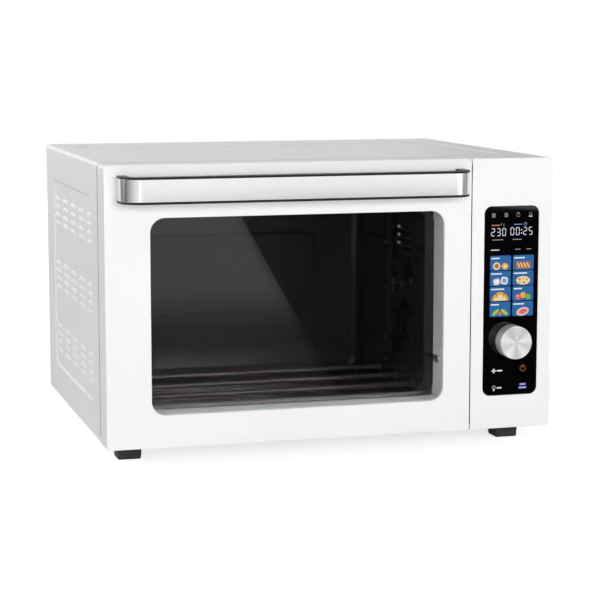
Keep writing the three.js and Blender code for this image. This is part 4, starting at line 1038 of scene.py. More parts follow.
@dataclass
class CaseWrap:
    """The white wrap: one folded sheet with pressed recesses and louvres."""

    sheet: float = 0.001
    fold_radius: float = 0.0048
    press_depth: float = 0.002
    press_slope: float = 0.0022
    press_edge: float = 0.0011
    press_angle: float = 24.0
    side_front: float = 0.097
    side_back: float = 0.385
    side_bottom: float = 0.038
    side_top: float = 0.282
    side_radius: float = 0.016
    top_margin: float = 0.03
    top_front: float = 0.083
    top_back: float = 0.388
    top_radius: float = 0.022
    louvre_first_y: float = 0.118
    louvre_first_z: float = 0.0575
    louvre_length: float = 0.047
    louvre_rise: float = 0.0054
    louvre_stand: float = 0.0019
    louvre_wall: float = 0.0006
    louvre_slit: float = 0.0035
    columns: int = 5
    rows: int = 4
    groups: int = 3
    column_pitch: float = 0.061
    row_pitch: float = 0.0106
    group_pitch: float = 0.0835

    def build(self, finishes: Finishes) -> None:
        """Makes the wrap and its louvres."""
        box = Box.of("outer_case")
        wrap = Bench.rounded("case_wrap", box, Axis.Y, self.fold_radius, 10, upper_half(box))
        for side in Side:
            wrap.cut(self._side_punch(box, side))
        wrap.cut(self._top_punch(box))
        for way in (-Axis.Y.unit, Axis.Y.unit, -Axis.Z.unit):
            wrap.open(facing(way))
        wrap.soften(self.press_edge, 3, self.press_angle)
        wrap.thicken(self.sheet)
        hoods = []
        for side in Side:
            wrap.cut(self._slits(box, side))
            hoods.append(self._hoods(box, side))
        wrap.gather(*hoods)
        wrap.done(finishes.enamel, Body.CASE, Slot.ENAMEL, "outer_case")

    def _punch(self, box: Box, axis: Axis, sign: int, radius: float) -> Bench:
        """A block with sloped walls whose small end lies the press depth inside a face.

        Args:
            box: the recess at the face; its extent along the axis isn't used.
            axis: the axis square to the face.
            sign: the way along it that the face looks.
            radius: the radius of the recess's corners.

        Returns:
            The punch on the bench.
        """
        face = box.hi[axis.value] if sign > 0 else box.lo[axis.value]
        ends = sorted((face - sign * self.press_depth, face + sign * self.press_depth))
        grow = {"xyz"[other.value]: self.press_slope for other in Axis if other is not axis}
        block = box.grown(**grow).spanning(axis, *ends)
        size = block.size
        factors = Vector(tuple(
            1.0 if other is axis else 1 - 4 * self.press_slope / size[other.value] for other in Axis
        ))
        punch = Bench.rounded("punch", block, axis, radius, 8)
        return punch.resize(facing(axis.unit * -sign), factors, block.centre)

    def _side_punch(self, box: Box, side: Side) -> Bench:
        """The punch of one side's recess."""
        recess = Box.drawn(
            (0.0, 0.0), (self.side_front, self.side_back), (self.side_bottom, self.side_top),
        ).spanning(Axis.X, box.lo.x, box.hi.x)
        return self._punch(recess, Axis.X, side.value, self.side_radius)

    def _top_punch(self, box: Box) -> Bench:
        """The punch of the top's recess."""
        recess = Box.drawn((0.0, 0.0), (self.top_front, self.top_back), (0.0, 0.0))
        recess = recess.spanning(Axis.X, CORNER.x + self.top_margin, box.hi.x - self.top_margin)
        return self._punch(recess.spanning(Axis.Z, box.lo.z, box.hi.z), Axis.Z, 1, self.top_radius)

    def _wall(self, box: Box, side: Side) -> float:
        """The x of one side's recessed face."""
        face = box.hi.x if side is Side.RIGHT else box.lo.x
        return face - side.value * self.press_depth

    def _array(self, bench: Bench) -> Bench:
        """Repeats the first louvre over a side."""
        bench.repeat(self.rows, Axis.Z.unit * self.row_pitch)
        bench.repeat(self.groups, Axis.Z.unit * self.group_pitch)
        return bench.repeat(self.columns, Axis.Y.unit * self.column_pitch)

    def _slits(self, box: Box, side: Side) -> Bench:
        """The slits that lie behind the louvres of one side."""
        wall = self._wall(box, side)
        middle = drawn(0.0, self.louvre_first_y, self.louvre_first_z)
        half = self.louvre_length / 2 - self.louvre_stand
        return self._array(Bench.block("slit", Box.within(
            (wall - 2 * self.sheet, wall + 2 * self.sheet), (middle.y - half, middle.y + half),
            (middle.z, middle.z + self.louvre_slit),
        )))

    def _hoods(self, box: Box, side: Side) -> Bench:
        """The louvre hoods of one side: quarter shells that are open below."""
        centre = drawn(0.0, self.louvre_first_y, self.louvre_first_z)
        centre.x = self._wall(box, side) - side.value * self.sheet / 2
        radii = Vector((self.louvre_stand + self.sheet / 2, self.louvre_length / 2, self.louvre_rise))
        hood = Bench.ball(f"louvres_{side.word}", centre, radii, 16, 8)
        hood.halve(centre, Axis.Z.unit).halve(centre, Axis.X.unit * side.value)
        return self._array(hood.thicken(self.louvre_wall))


@dataclass
class RearAndBase:
    """The rear panel with its air slots, the base pan, the cord gland, the feet and screws."""

    corner_radius: float = 0.004
    slot_length: float = 0.044
    slot_width: float = 0.004
    slot_pitch: float = 0.011
    slot_first: float = 0.18
    slots: int = 7
    row_shares: tuple[float, ...] = (0.15, 0.5, 0.88)
    screw_margin: float = 0.009
    slot_ends: float = 0.99
    gland_play: float = 0.0003
    gland_neck: float = 8 / 11
    gland_bore: float = 0.45
    gland_lip: float = 1.35
    gland_rim: float = 0.15
    gland_bevel: Span = (0.93, 0.97)
    gland_ribs: int = 3
    gland_edge: float = 0.0003
    foot_corner: float = 0.0022
    foot_taper: float = 0.9
    foot_edge: float = 0.0009
    pan_edge: float = 0.0006

    def build(self, finishes: Finishes) -> None:
        """Makes the pieces."""
        self._panel(finishes)
        self._screws(finishes)
        self._gland(finishes)
        self._feet(finishes)
        Bench.stand_in(
            "base_pan", "base_tray", finishes.galvanised, Body.CASE, Slot.GALVANISED, self.pan_edge,
        )

    def _panel(self, finishes: Finishes) -> None:
        """The rear panel with three rows of slots and the gland's hole."""
        box = Box.of("back_panel")
        panel = Bench.rounded("rear_panel", box, Axis.Y, self.corner_radius, 8, upper_half(box))
        case = Box.of("outer_case")
        through = box.grown(y=self.slot_width)
        for share in self.row_shares:
            middle = case.lo.x + share * case.size.x
            low = CORNER.z + self.slot_first - self.slot_width / 2
            slot = through.spanning(Axis.X, middle - self.slot_length / 2, middle + self.slot_length / 2)
            slot = slot.spanning(Axis.Z, low, low + self.slot_width)
            cutter = Bench.rounded("slot", slot, Axis.Y, self.slot_width / 2 * self.slot_ends, 6)
            panel.cut(cutter.repeat(self.slots, Axis.Z.unit * self.slot_pitch))
        hole = Box.of("cord_gland").middle(Axis.Y, box.centre.y)
        radius = self._gland_radius() + self.gland_play
        panel.cut(Bench.disc("hole", Axis.Y, hole, radius, through.size.y))
        panel.done(finishes.galvanised, Body.CASE, Slot.GALVANISED, "back_panel")

    def _gland_radius(self) -> float:
        """The gland's radius where it passes the panel."""
        return Box.of("cord_gland").size.x / 2 * self.gland_neck

    def _screws(self, finishes: Finishes) -> None:
        """Screws round the rim of the rear panel."""
        box = Box.of("back_panel")
        rim = box.grown(x=-self.screw_margin, z=-self.screw_margin)
        ends, levels = (rim.lo.x, rim.hi.x), (rim.lo.z, box.centre.z, rim.hi.z)
        places = [Vector((x, box.hi.y, z)) for x in ends for z in levels]
        places += [Vector((box.centre.x, box.hi.y, z)) for z in levels[::2]]
        screws = Screws().build("rear_screws", Axis.Y, 1, places)
        screws.done(finishes.zinc, Body.CASE, Slot.ZINC)

    def _gland(self, finishes: Finishes) -> None:
        """The bush that the cord passes, with its flange and a ribbed sleeve."""
        box = Box.of("cord_gland")
        length = box.size.y
        flange = box.size.x / 2
        neck = self._gland_radius()
        bore = neck * self.gland_bore
        start = Box.of("back_panel").hi.y - box.lo.y + self.gland_play
        rim = start + length * self.gland_rim
        narrow, low = self.gland_bevel
        profile = [(bore, 0.0), (neck, 0.0), (neck, start), (flange, start), (flange, rim * low)]
        profile += [(flange * narrow, rim), (neck, rim)]
        step = (length - rim) / (2 * self.gland_ribs)
        for rib in range(self.gland_ribs):
            radius = neck - (neck - bore * self.gland_lip) * (rib + 1) / self.gland_ribs
            profile += [(radius, rim + (2 * rib + end) * step) for end in (1, 2)]
        profile += [(bore, length), (bore, 0.0)]
        gland = Bench.turned("gland", Axis.Y, box.middle(Axis.Y, box.lo.y), profile, 36)
        gland.soften(self.gland_edge)
        gland.done(finishes.plastic, Body.CASE, Slot.PLASTIC, "cord_gland")

    def _feet(self, finishes: Finishes) -> None:
        """Four tapered rubber feet."""
        for word in ("front_left", "front_right", "rear_left", "rear_right"):
            node = f"foot_{word}"
            box = Box.of(node)
            foot = Bench.rounded(f"rubber_{node}", box, Axis.Z, self.foot_corner, 4)
            factors = Vector((self.foot_taper, self.foot_taper, 1.0))
            foot.resize(facing(-Axis.Z.unit), factors, box.middle(Axis.Z, box.lo.z))
            foot.soften(self.foot_edge, 3, SQUARE)
            foot.done(finishes.rubber, Body.CASE, Slot.PLASTIC, node)


@dataclass
class Cavity:
    """The cavity's walls, heaters, lamp and sensor, and the frame that carries them."""

    sheet: float = 0.001
    press_edge: float = 0.0009
    frame_edge: float = 0.0003
    lens_edge: float = 0.0006
    cup_edge: float = 0.0004
    rod_edge: float = 0.0006
    rod_share: float = 0.7
    pin_share: float = 0.4
    pin_length: float = 0.012
    collar_length: float = 0.011
    collar_end: float = 0.9
    heaters: int = 4
    probe_tip: Span = (0.7, 0.0004)
    probe_nose: float = 0.0018
    probe_collar: Point = (0.0022, 0.0018, 0.0003)
    screw_ys: tuple[float, ...] = (0.1765, 0.26)
    screw_zs: tuple[float, ...] = (0.0756, 0.138, 0.22)

    def build(self, finishes: Finishes) -> None:
        """Makes the cavity's pieces."""
        case = Body.CASE
        for node in ("cavity_left_wall", "cavity_right_wall", "cavity_rear_wall"):
            Bench.stand_in(
                node, f"{node}_pressed", finishes.cavity, case, Slot.CAVITY, self.press_edge, 3, PRESSED,
            )
        for node in ("cavity_ceiling", "cavity_floor"):
            Bench.stand_in(node, f"{node}_plate", finishes.floor, case, Slot.CAVITY, self.frame_edge)
        Bench.stand_in(
            "front_frame", "mouth_frame", finishes.cavity, case, Slot.GALVANISED, self.frame_edge,
        )
        self._screws(finishes)
        for row in ("bottom", "top"):
            for number in range(1, self.heaters + 1):
                self._heater(f"heater_{row}_{number}", finishes)
        Bench.stand_in(
            "lamp_lens", "lamp_dome", finishes.lamp_glass, case, Slot.LAMP, self.lens_edge, 3, PRESSED,
        )
        Bench.stand_in(
            "lamp_holder", "lamp_cup", finishes.ceramic, case, Slot.CERAMIC, self.cup_edge, 2, FOLDED,
        )
        self._sensor(finishes)

    def _wall(self) -> float:
        """The x of the inner face of the right wall's service recess."""
        return Box.of("cavity_right_wall").hi.x - self.sheet

    def _screws(self, finishes: Finishes) -> None:
        """Screws in the service recess of the right wall."""
        wall = self._wall()
        places = [Vector((wall, *drawn(0.0, y, z).yz)) for y in self.screw_ys for z in self.screw_zs]
        screws = Screws().build("cavity_screws", Axis.X, -1, places)
        screws.done(finishes.zinc, Body.CASE, Slot.ZINC)

    def _heater(self, node: str, finishes: Finishes) -> None:
        """One straight heater with its collars and pins."""
        box = Box.of(node)
        half = box.size.x / 2
        collar = box.size.z / 2
        rod = collar * self.rod_share
        pin = collar * self.pin_share
        reach = half - self.pin_length
        root = reach - self.collar_length
        right = [
            (0.0, half), (pin, half), (pin, reach), (collar * self.collar_end, reach),
            (collar, reach - self.rod_edge), (collar, root + self.rod_edge), (rod, root),
        ]
        left = [(radius, -place) for radius, place in reversed(right)]
        bar = Bench.turned(f"{node}_rod", Axis.X, box.centre, right + left, 24)
        bar.done(finishes.sheath, Body.CASE, Slot.SHEATH, node)

    def _sensor(self, finishes: Finishes) -> None:
        """The temperature probe."""
        box = Box.of("temperature_sensor")
        collar = box.size.z / 2
        rod = collar / 2
        wall = self._wall() - box.lo.x
        start, full, end = (wall - step for step in self.probe_collar)
        profile = [
            (0.0, 0.0), (rod * self.probe_tip[0], self.probe_tip[1]), (rod, self.probe_nose),
            (rod, start), (collar * self.collar_end, start), (collar, full), (collar, end),
            (rod, end), (rod, box.size.x), (0.0, box.size.x),
        ]
        probe = Bench.turned("probe", Axis.X, box.middle(Axis.X, box.lo.x), profile, 28)
        probe.done(finishes.zinc, Body.CASE, Slot.ZINC, "temperature_sensor")


@dataclass
class Door:
    """The white frame, its two panes, the grey liner between them, and the hinges and stays."""

    wall: float = 0.0015
    top_radius: float = 0.0055
    bottom_radius: float = 0.002
    edge: float = 0.0007
    rear_chamfer: float = 0.0035
    window_x: Span = (0.0522, 0.4038)
    window_z: Span = (0.0374, 0.2637)
    window_radius: float = 0.017
    window_steps: int = 14
    rear_radius: float = 0.0015
    outer_radius: float = 0.026
    inner_radius: float = 0.0167
    pane_edge: float = 0.0006
    liner_wall: float = 0.0012
    liner_edge: float = 0.0004
    slot_half: float = 0.0025
    slot_front: float = 0.02
    hole_radius: float = 0.0008
    hole_y: float = 0.0176
    hole_first_z: float = 0.048
    hole_pitch: float = 0.018
    holes: int = 12
    overrun: float = 0.003
    hinge_edge: float = 0.0004
    bracket_fit: float = 0.001
    bracket_top: float = 0.018
    stay_sheet: float = 0.002
    lug_side: float = 0.0005
    lug_fit: float = 0.0003
    lug_height: float = 0.0083
    lug_back: float = 0.0353
    arm_fit: float = 0.001
    arm_height: float = 0.0095
    arm_rise: float = 0.0015
    # Sizes of the dark ring behind the door's rim, which is painted shade for the gap beside the case.
    seam_shade_inset: float = 0.00005
    seam_shade_gap: float = 0.0002
    seam_shade_width: float = 0.004
    seam_shade_foot: float = 0.008
    seam_shade_edge: float = 0.0005

    def build(self, finishes: Finishes) -> None:
        """Makes the door's pieces."""
        self._frame(finishes)
        self._seam_shade(finishes)
        self._panes(finishes)
        self._liner(finishes)
        for side in Side:
            self._hinge(side, finishes)

    def _window(self, name: str, grow: float, y: Span) -> Bench:
        """A rounded block with the window's outline."""
        box = Box.drawn(self.window_x, y, self.window_z).grown(x=grow, z=grow)
        return Bench.rounded(name, box, Axis.Y, self.window_radius + grow, self.window_steps)

    def _funnel(self, name: str, grow: float, y: Span) -> Bench:
        """A block that has the window's outline in front and nearly square corners behind."""
        box = Box.drawn(self.window_x, y, self.window_z).grown(x=grow, z=grow)
        front = self.window_radius + grow
        rear = self.rear_radius + grow

        def square(point: Vector) -> Vector:
            """Moves a corner's vertex behind outwards."""
            offset = point - box.centre
            if offset.y < 0:
                return point
            sides = Vector((math.copysign(1.0, offset.x), 0.0, math.copysign(1.0, offset.z)))
            corner = box.centre + Vector((sides.x * box.size.x / 2, 0.0, sides.z * box.size.z / 2))
            arm = point - (corner - sides * front)
            arm.y = 0.0
            if arm.x * sides.x < -1e-5 or arm.z * sides.z < -1e-5:
                return point
            moved = corner - sides * rear + arm.normalized() * rear
            return Vector((moved.x, point.y, moved.z))

        return self._window(name, grow, y).shape(square)

    def _frame(self, finishes: Finishes) -> None:
        """The white frame: a shallow tray with the window cut in its face."""
        box = Box.of("door_frame")
        door = Bench.rounded("door_shell", box, Axis.Y, self.top_radius, 10, upper_half(box))
        lower = along(Axis.Y, lambda middle: middle.z < box.lo.z + self.wall)
        door.bevel(lower, self.bottom_radius, 4)
        corner = Vector((box.centre.x, box.hi.y, box.lo.z + self.rear_chamfer))
        door.halve(corner, Vector((0.0, -1.0, 1.0)).normalized(), True)
        hollow = box.core(self.wall, box.lo.y + self.wall, box.hi.y + self.overrun)
        radius = self.top_radius - self.wall
        door.cut(Bench.rounded("hollow", hollow, Axis.Y, radius, 8, upper_half(box)))
        door.cut(self._window("opening", 0.0, (-self.overrun, self.wall + self.overrun)))
        door.cut(*self._hinge_slots(box))
        door.soften(self.edge, 3, SQUARE)
        door.done(finishes.enamel, Body.DOOR, Slot.ENAMEL, "door_frame")

    def _seam_shade(self, finishes: Finishes) -> None:
        """A thin dark ring behind the door's rim: a dark sheet that is painted shade for the gap, so
        that the gap shows as a dark line beside the case.
        """
        door = Box.of("door_frame")
        box = door.core(self.seam_shade_inset, door.hi.y, Box.of("outer_case").lo.y - self.seam_shade_gap)
        ring = box.spanning(Axis.Z, box.lo.z + self.seam_shade_foot, box.hi.z)
        seam_shade = Bench.rounded("door_seam_shade", ring, Axis.Y, self.top_radius, 8, upper_half(box))
        inside = ring.grown(x=-self.seam_shade_width, y=self.overrun)
        inside = inside.spanning(Axis.Z, ring.lo.z - self.overrun, ring.hi.z - self.seam_shade_width)
        seam_shade.cut(Bench.rounded("inside", inside, Axis.Y, self.seam_shade_width / 2, 4))
        seam_shade.soften(self.seam_shade_edge, 2, SQUARE)
        seam_shade.done(finishes.seam_shade, Body.DOOR, Slot.PLASTIC)

    def _hinge_slots(self, box: Box) -> list[Bench]:
        """The slots in the bottom for the hinge brackets."""
        slots = []
        for side in Side:
            middle = Box.of(f"hinge_bracket_{side.word}").centre.x
            slots.append(Bench.block("slot", Box.within(
                (middle - self.slot_half, middle + self.slot_half),
                (box.lo.y + self.slot_front, box.hi.y + self.overrun),
                (box.lo.z - self.overrun, box.lo.z + self.overrun),
            )))
        return slots

    def _panes(self, finishes: Finishes) -> None:
        """The outer and the inner pane with ground edges."""
        for node, name, finish, radius in (
            ("door_glass_outer", "outer_pane", finishes.outer_glass, self.outer_radius),
            ("door_glass_inner", "inner_pane", finishes.inner_glass, self.inner_radius),
        ):
            pane = Bench.rounded(name, Box.of(node), Axis.Y, radius, self.window_steps)
            pane.soften(self.pane_edge, 2, SQUARE)
            pane.done(finish, Body.DOOR, Slot.GLASS, node)

    def _liner(self, finishes: Finishes) -> None:
        """The grey tube round the window and the flange that closes the door's back."""
        box = Box.of("door_liner")
        flange = box.spanning(Axis.Y, box.hi.y - self.liner_wall, box.hi.y)
        liner = Bench.rounded("window_liner", flange, Axis.Y, self.top_radius, 8, upper_half(box))
        depth = (box.lo.y - CORNER.y, box.hi.y - CORNER.y)
        liner.fuse(self._funnel("tube", self.liner_wall, depth))
        liner.cut(self._funnel("inside", 0.0, (depth[0] - self.overrun, depth[1] + self.overrun)))
        liner.cut(*self._liner_slots(box))
        hole = drawn(sum(self.window_x) / 2, self.hole_y, self.hole_first_z)
        across = self.window_x[1] - self.window_x[0] + 2 * self.overrun
        drill = Bench.disc("hole", Axis.X, hole, self.hole_radius, across, 12)
        liner.cut(drill.repeat(self.holes, Axis.Z.unit * self.hole_pitch))
        liner.soften(self.liner_edge, 2, SQUARE)
        liner.done(finishes.liner, Body.DOOR, Slot.LINER, "door_liner")

    def _liner_slots(self, box: Box) -> list[Bench]:
        """The liner's openings for the brackets and for the stays and their lugs."""
        slots = []
        wall = (box.hi.y - self.overrun, box.hi.y + self.overrun)
        for side in Side:
            bracket = Box.of(f"hinge_bracket_{side.word}").grown(x=self.bracket_fit)
            slots.append(Bench.block("slot", bracket.spanning(Axis.Y, *wall).spanning(
                Axis.Z, box.lo.z - self.overrun, CORNER.z + self.bracket_top,
            )))
            stay = Box.of(f"door_stay_{side.word}")
            top = stay.hi.z
            slots.append(Bench.block("lug_slot", Box.within(
                (stay.lo.x - self.lug_side, stay.hi.x + self.lug_side),
                (stay.lo.y - self.lug_fit, CORNER.y + self.lug_back),
                (top - self.lug_height, top + self.lug_fit),
            )))
            inner, outer = self._stay_plate(stay, side)
            slots.append(Bench.block("arm_slot", Box.within(
                (inner - self.arm_fit, outer + self.arm_fit), wall,
                (top - self.arm_height, top + self.arm_rise),
            )))
        return slots

    def _stay_plate(self, stay: Box, side: Side) -> Span:
        """The x of the two faces of a stay's arm."""
        if side is Side.LEFT:
            return (stay.lo.x, stay.lo.x + self.stay_sheet)
        return (stay.hi.x - self.stay_sheet, stay.hi.x)

    def _hinge(self, side: Side, finishes: Finishes) -> None:
        """The bracket, block, pin and stay of one side."""
        word = side.word
        for part, name, finish, body, slot in (
            ("hinge_bracket", "hinge_plate", finishes.zinc, Body.CASE, Slot.ZINC),
            ("door_stay", "stay_arm", finishes.zinc, Body.DOOR, Slot.ZINC),
            ("hinge_block", "pin_block", finishes.plastic, Body.DOOR, Slot.PLASTIC),
        ):
            Bench.stand_in(
                f"{part}_{word}", f"{name}_{word}", finish, body, slot, self.hinge_edge, 2, FOLDED,
            )
        box = Box.of(f"hinge_pin_{word}")
        pin = Bench.disc(f"pin_{word}", Axis.X, box.centre, box.size.z / 2, box.size.x, 28)
        pin.soften(self.hinge_edge, 2, SQUARE)
        pin.done(finishes.zinc, Body.CASE, Slot.ZINC, f"hinge_pin_{word}")


@dataclass
class Handle:
    """A black core with a steel ribbon bent round it."""

    bend_radius: float = 0.025
    bend_steps: int = 20
    ribbon: float = 0.0015
    groove_play: float = 0.0002
    leg_width: float = 0.0105
    thin_depth: float = 0.009
    middle_depth: float = 0.0135
    throat_radius: float = 0.01
    core_edge: float = 0.0006
    ribbon_edge: float = 0.0003
    overrun: float = 0.004
    slices: int = 24

    def build(self, finishes: Finishes) -> None:
        """Makes the core and the ribbon."""
        bar, face = Box.of("handle_core"), Box.of("handle_face")
        core = self._block("handle_bar", bar, 0.0)
        core.cut(self._throat(bar))
        band = face.grown(z=self.groove_play)
        core.cut(self._band("groove", band, self.ribbon + self.groove_play, self.overrun))
        core.soften(self.core_edge, 2, SQUARE)
        core.done(finishes.plastic, Body.DOOR, Slot.PLASTIC, "handle_core")
        ribbon = self._band("handle_ribbon", face, self.ribbon, 0.0)
        ribbon.soften(self.ribbon_edge, 2, SQUARE)
        ribbon.done(finishes.ribbon, Body.DOOR, Slot.BRUSHED, "handle_face")

    def _block(self, name: str, box: Box, inset: float) -> Bench:
        """A block with the handle's outline, made smaller by an inset."""
        inner = Box(box.lo + Vector((inset, inset, 0.0)), box.hi - Vector((inset, 0.0, 0.0)))
        radius = self.bend_radius - inset
        return Bench.rounded(name, inner, Axis.Z, radius, self.bend_steps, front_half(box))

    def _band(self, name: str, box: Box, wall: float, beyond: float) -> Bench:
        """The ribbon's band between two outlines.

        Args:
            name: the name of the piece.
            box: the outside of the ribbon.
            wall: how far the band reaches inwards from the outline.
            beyond: how far it reaches outwards.

        Returns:
            The band on the bench.
        """
        outer = self._block(name, box, -beyond)
        inner = self._block("inside", box.grown(z=self.overrun), wall)
        for vertex in inner.piece.data.vertices:
            if vertex.co.y > box.hi.y - self.ribbon / 2:
                vertex.co.y = box.hi.y + self.overrun
        return outer.cut(inner)

    def _throat(self, box: Box) -> Bench:
        """The finger room behind the bar, shallower in the middle of the bar."""
        throat = box.grown(x=-self.leg_width, z=self.overrun)
        throat = throat.spanning(Axis.Y, box.lo.y + self.thin_depth, box.hi.y + self.overrun)
        room = Bench.rounded("throat", throat, Axis.Z, self.throat_radius, 10, front_half(box))
        start = throat.lo.x + self.throat_radius
        run = throat.size.x - 2 * self.throat_radius
        room.slice(Axis.X, [start + run * step / self.slices for step in range(1, self.slices)])
        wall = throat.lo.y + self.ribbon

        def swell(point: Vector) -> Vector:
            """Moves the bar's back wall outwards in a long smooth hump."""
            share = (point.x - start) / run
            if point.y > wall or not 0 < share < 1:
                return point
            lift = (self.middle_depth - self.thin_depth) * math.sin(math.pi * share) ** 2
            return Vector((point.x, point.y + lift, point.z))

        return room.shape(swell)


@dataclass
class Column:
    """The control column with its pocket for the display glass."""

    top_radius: float = 0.0065
    small_radius: float = 0.002
    wall: float = 0.002
    face: float = 0.0045
    edge: float = 0.0007
    pocket_play: float = 0.0003
    lip: float = 0.004
    glass_radius: float = 0.009
    glass_edge: float = 0.0004
    strip_wall: float = 0.0003
    strip_set: float = 0.0009
    strip_margin: float = 0.007
    overrun: float = 0.003

    def build(self, finishes: Finishes) -> None:
        """Makes the column's shell, its glass and the dark strip beside the door, which is painted
        shade.
        """
        self._shell(finishes)
        self._strip(finishes)
        glass = Bench.rounded("touch_glass", Box.of("display_glass"), Axis.Y, self.glass_radius, 12)
        glass.soften(self.glass_edge, 3, SQUARE)
        glass.done(finishes.display, Body.CASE, Slot.DISPLAY, "display_glass")

    def _strip(self, finishes: Finishes) -> None:
        """The dark strip on the column's side: painted shade that makes the seam beside the door show as
        a dark line.
        """
        box = Box.of("control_panel")
        strip = box.grown(y=-self.strip_set, z=-self.strip_margin)
        strip = strip.spanning(Axis.X, box.lo.x - self.strip_wall, box.lo.x)
        bench = Bench.rounded("seam_shade_strip", strip, Axis.X, self.strip_set, 3)
        bench.done(finishes.seam_shade, Body.CASE, Slot.PLASTIC)

    def _shell(self, finishes: Finishes) -> None:
        """The white shell."""
        box = Box.of("control_panel")
        small = self.small_radius

        def outer(middle: Vector) -> bool:
            """Picks the edge at the oven's upper right corner."""
            return middle.z > box.centre.z and middle.x > box.centre.x

        def others(middle: Vector) -> bool:
            """Picks the other three edges."""
            return middle.z < box.lo.z + small or middle.x < box.lo.x + small

        shell = Bench.rounded("column_shell", box, Axis.Y, self.top_radius, 10, outer)
        shell.bevel(along(Axis.Y, others), small, 4)
        hollow = box.core(self.wall, box.lo.y + self.face, box.hi.y + self.overrun)
        shell.cut(Bench.rounded("hollow", hollow, Axis.Y, self.top_radius - self.wall, 8, outer))
        glass = Box.of("display_glass")
        play = self.pocket_play
        pocket = glass.core(-play, box.lo.y - self.overrun, glass.hi.y + play)
        shell.cut(Bench.rounded("pocket", pocket, Axis.Y, self.glass_radius + play, 12))
        hole = glass.core(self.lip, box.lo.y, box.lo.y + self.face + self.overrun)
        shell.cut(Bench.rounded("hole", hole, Axis.Y, self.glass_radius - self.lip, 8))
        shell.soften(self.edge, 3, SQUARE)
        shell.done(finishes.enamel, Body.CASE, Slot.ENAMEL, "control_panel")


class Tone(Enum):
    """The colours of the lit picture: red, green and blue, and the strength."""

    WHITE = ((0.82, 0.86, 1.0), 0.95)
    SOFT = ((0.55, 0.58, 0.7), 0.55)
    VIOLET = ((0.42, 0.42, 0.95), 0.8)
    RED = ((0.72, 0.2, 0.12), 0.85)
    SKY = ((0.12, 0.3, 0.75), 0.85)
    EMBER = ((0.75, 0.22, 0.06), 0.85)
    TILE = ((0.03, 0.135, 0.345), 1.0)
    CREAM = ((0.9, 0.72, 0.42), 0.9)
    GOLD = ((0.85, 0.4, 0.05), 0.9)
    CRUST = ((0.48, 0.17, 0.05), 0.9)
    LEAF = ((0.25, 0.45, 0.05), 0.9)
    ROSE = ((0.75, 0.16, 0.15), 0.9)
    PALE = ((0.8, 0.55, 0.55), 0.9)


class Form(Enum):
    """The flat forms that the lit picture is made of."""

    BAR = "bar"
    DISC = "disc"
    HALF = "half"
    RING = "ring"
    ARC = "arc"


@dataclass(frozen=True)
class Mark:
    """One flat form of the lit picture, in millimetres from the door's corner.

    A mark on a tile gives its place from the tile's centre.
    """

    tone: Tone
    form: Form
    x: float
    z: float
    width: float
    height: float
    turn: float = 0.0
    layer: int = 0


def marks(tone: Tone, form: Form, *rows: tuple[float, ...]) -> list[Mark]:
    """Marks of one tone and form, given by place, size, turn and layer."""
    return [Mark(tone, form, *row) for row in rows]


SEGMENTS = {"0": "abcdef", "2": "abged", "3": "abgcd", "5": "afgcd"}

ICONS = (
    *marks(
        Tone.SOFT, Form.BAR, *((465.5, z, 4.4, 0.8) for z in (258.4, 257.1, 255.8, 254.5)),
        (479.8, 256.6, 0.7, 4.4), (483.0, 256.6, 0.7, 4.4), (481.4, 258.5, 3.6, 0.7),
        (481.4, 254.7, 3.6, 0.7), (481.4, 256.6, 0.8, 2.4),
    ),
    *marks(Tone.SOFT, Form.RING, (496.7, 256.3, 4.4, 4.4)),
    *marks(Tone.SOFT, Form.BAR, (496.7, 258.9, 3.2, 0.7)),
    *marks(Tone.SOFT, Form.RING, (512.5, 257.3, 3.8, 3.8), (475.5, 246.0, 1.3, 1.3)),
    *marks(Tone.SOFT, Form.ARC, (479.4, 245.0, 3.0, 3.2, 90.0)),
    *marks(Tone.SOFT, Form.RING, (505.9, 245.4, 4.2, 4.2)),
    *marks(
        Tone.SOFT, Form.BAR, (506.3, 246.1, 0.5, 1.8), (471.1, 227.3, 13.4, 0.9),
        (495.6, 227.3, 11.6, 0.9), (496.7, 215.4, 7.2, 0.9), (510.8, 215.4, 6.0, 0.9),
    ),
    *marks(Tone.RED, Form.BAR, (468.4, 244.6, 11.0, 1.2)),
    *marks(Tone.SKY, Form.BAR, (496.8, 245.2, 10.6, 1.1)),
    *marks(Tone.WHITE, Form.BAR, (512.5, 254.5, 4.6, 0.9), (467.9, 215.2, 10.6, 1.0)),
    *marks(
        Tone.WHITE, Form.DISC, (468.2, 71.6, 1.5, 2.7), (468.2, 68.2, 1.5, 2.7),
        (466.5, 69.9, 2.7, 1.5), (469.9, 69.9, 2.7, 1.5),
    ),
    *marks(Tone.WHITE, Form.BAR, (475.6, 69.9, 6.8, 1.7)),
    *marks(Tone.WHITE, Form.RING, (468.6, 50.0, 4.2, 4.2)),
    *marks(Tone.WHITE, Form.BAR, (468.6, 46.7, 1.7, 2.2), (475.3, 49.1, 6.2, 1.7)),
    *marks(Tone.EMBER, Form.RING, (505.4, 71.5, 7.2, 7.2)),
    *marks(Tone.EMBER, Form.BAR, (505.4, 74.2, 0.7, 3.6)),
    *marks(Tone.VIOLET, Form.BAR, (505.4, 52.2, 8.0, 2.2), (505.4, 48.2, 10.0, 2.2)),
)

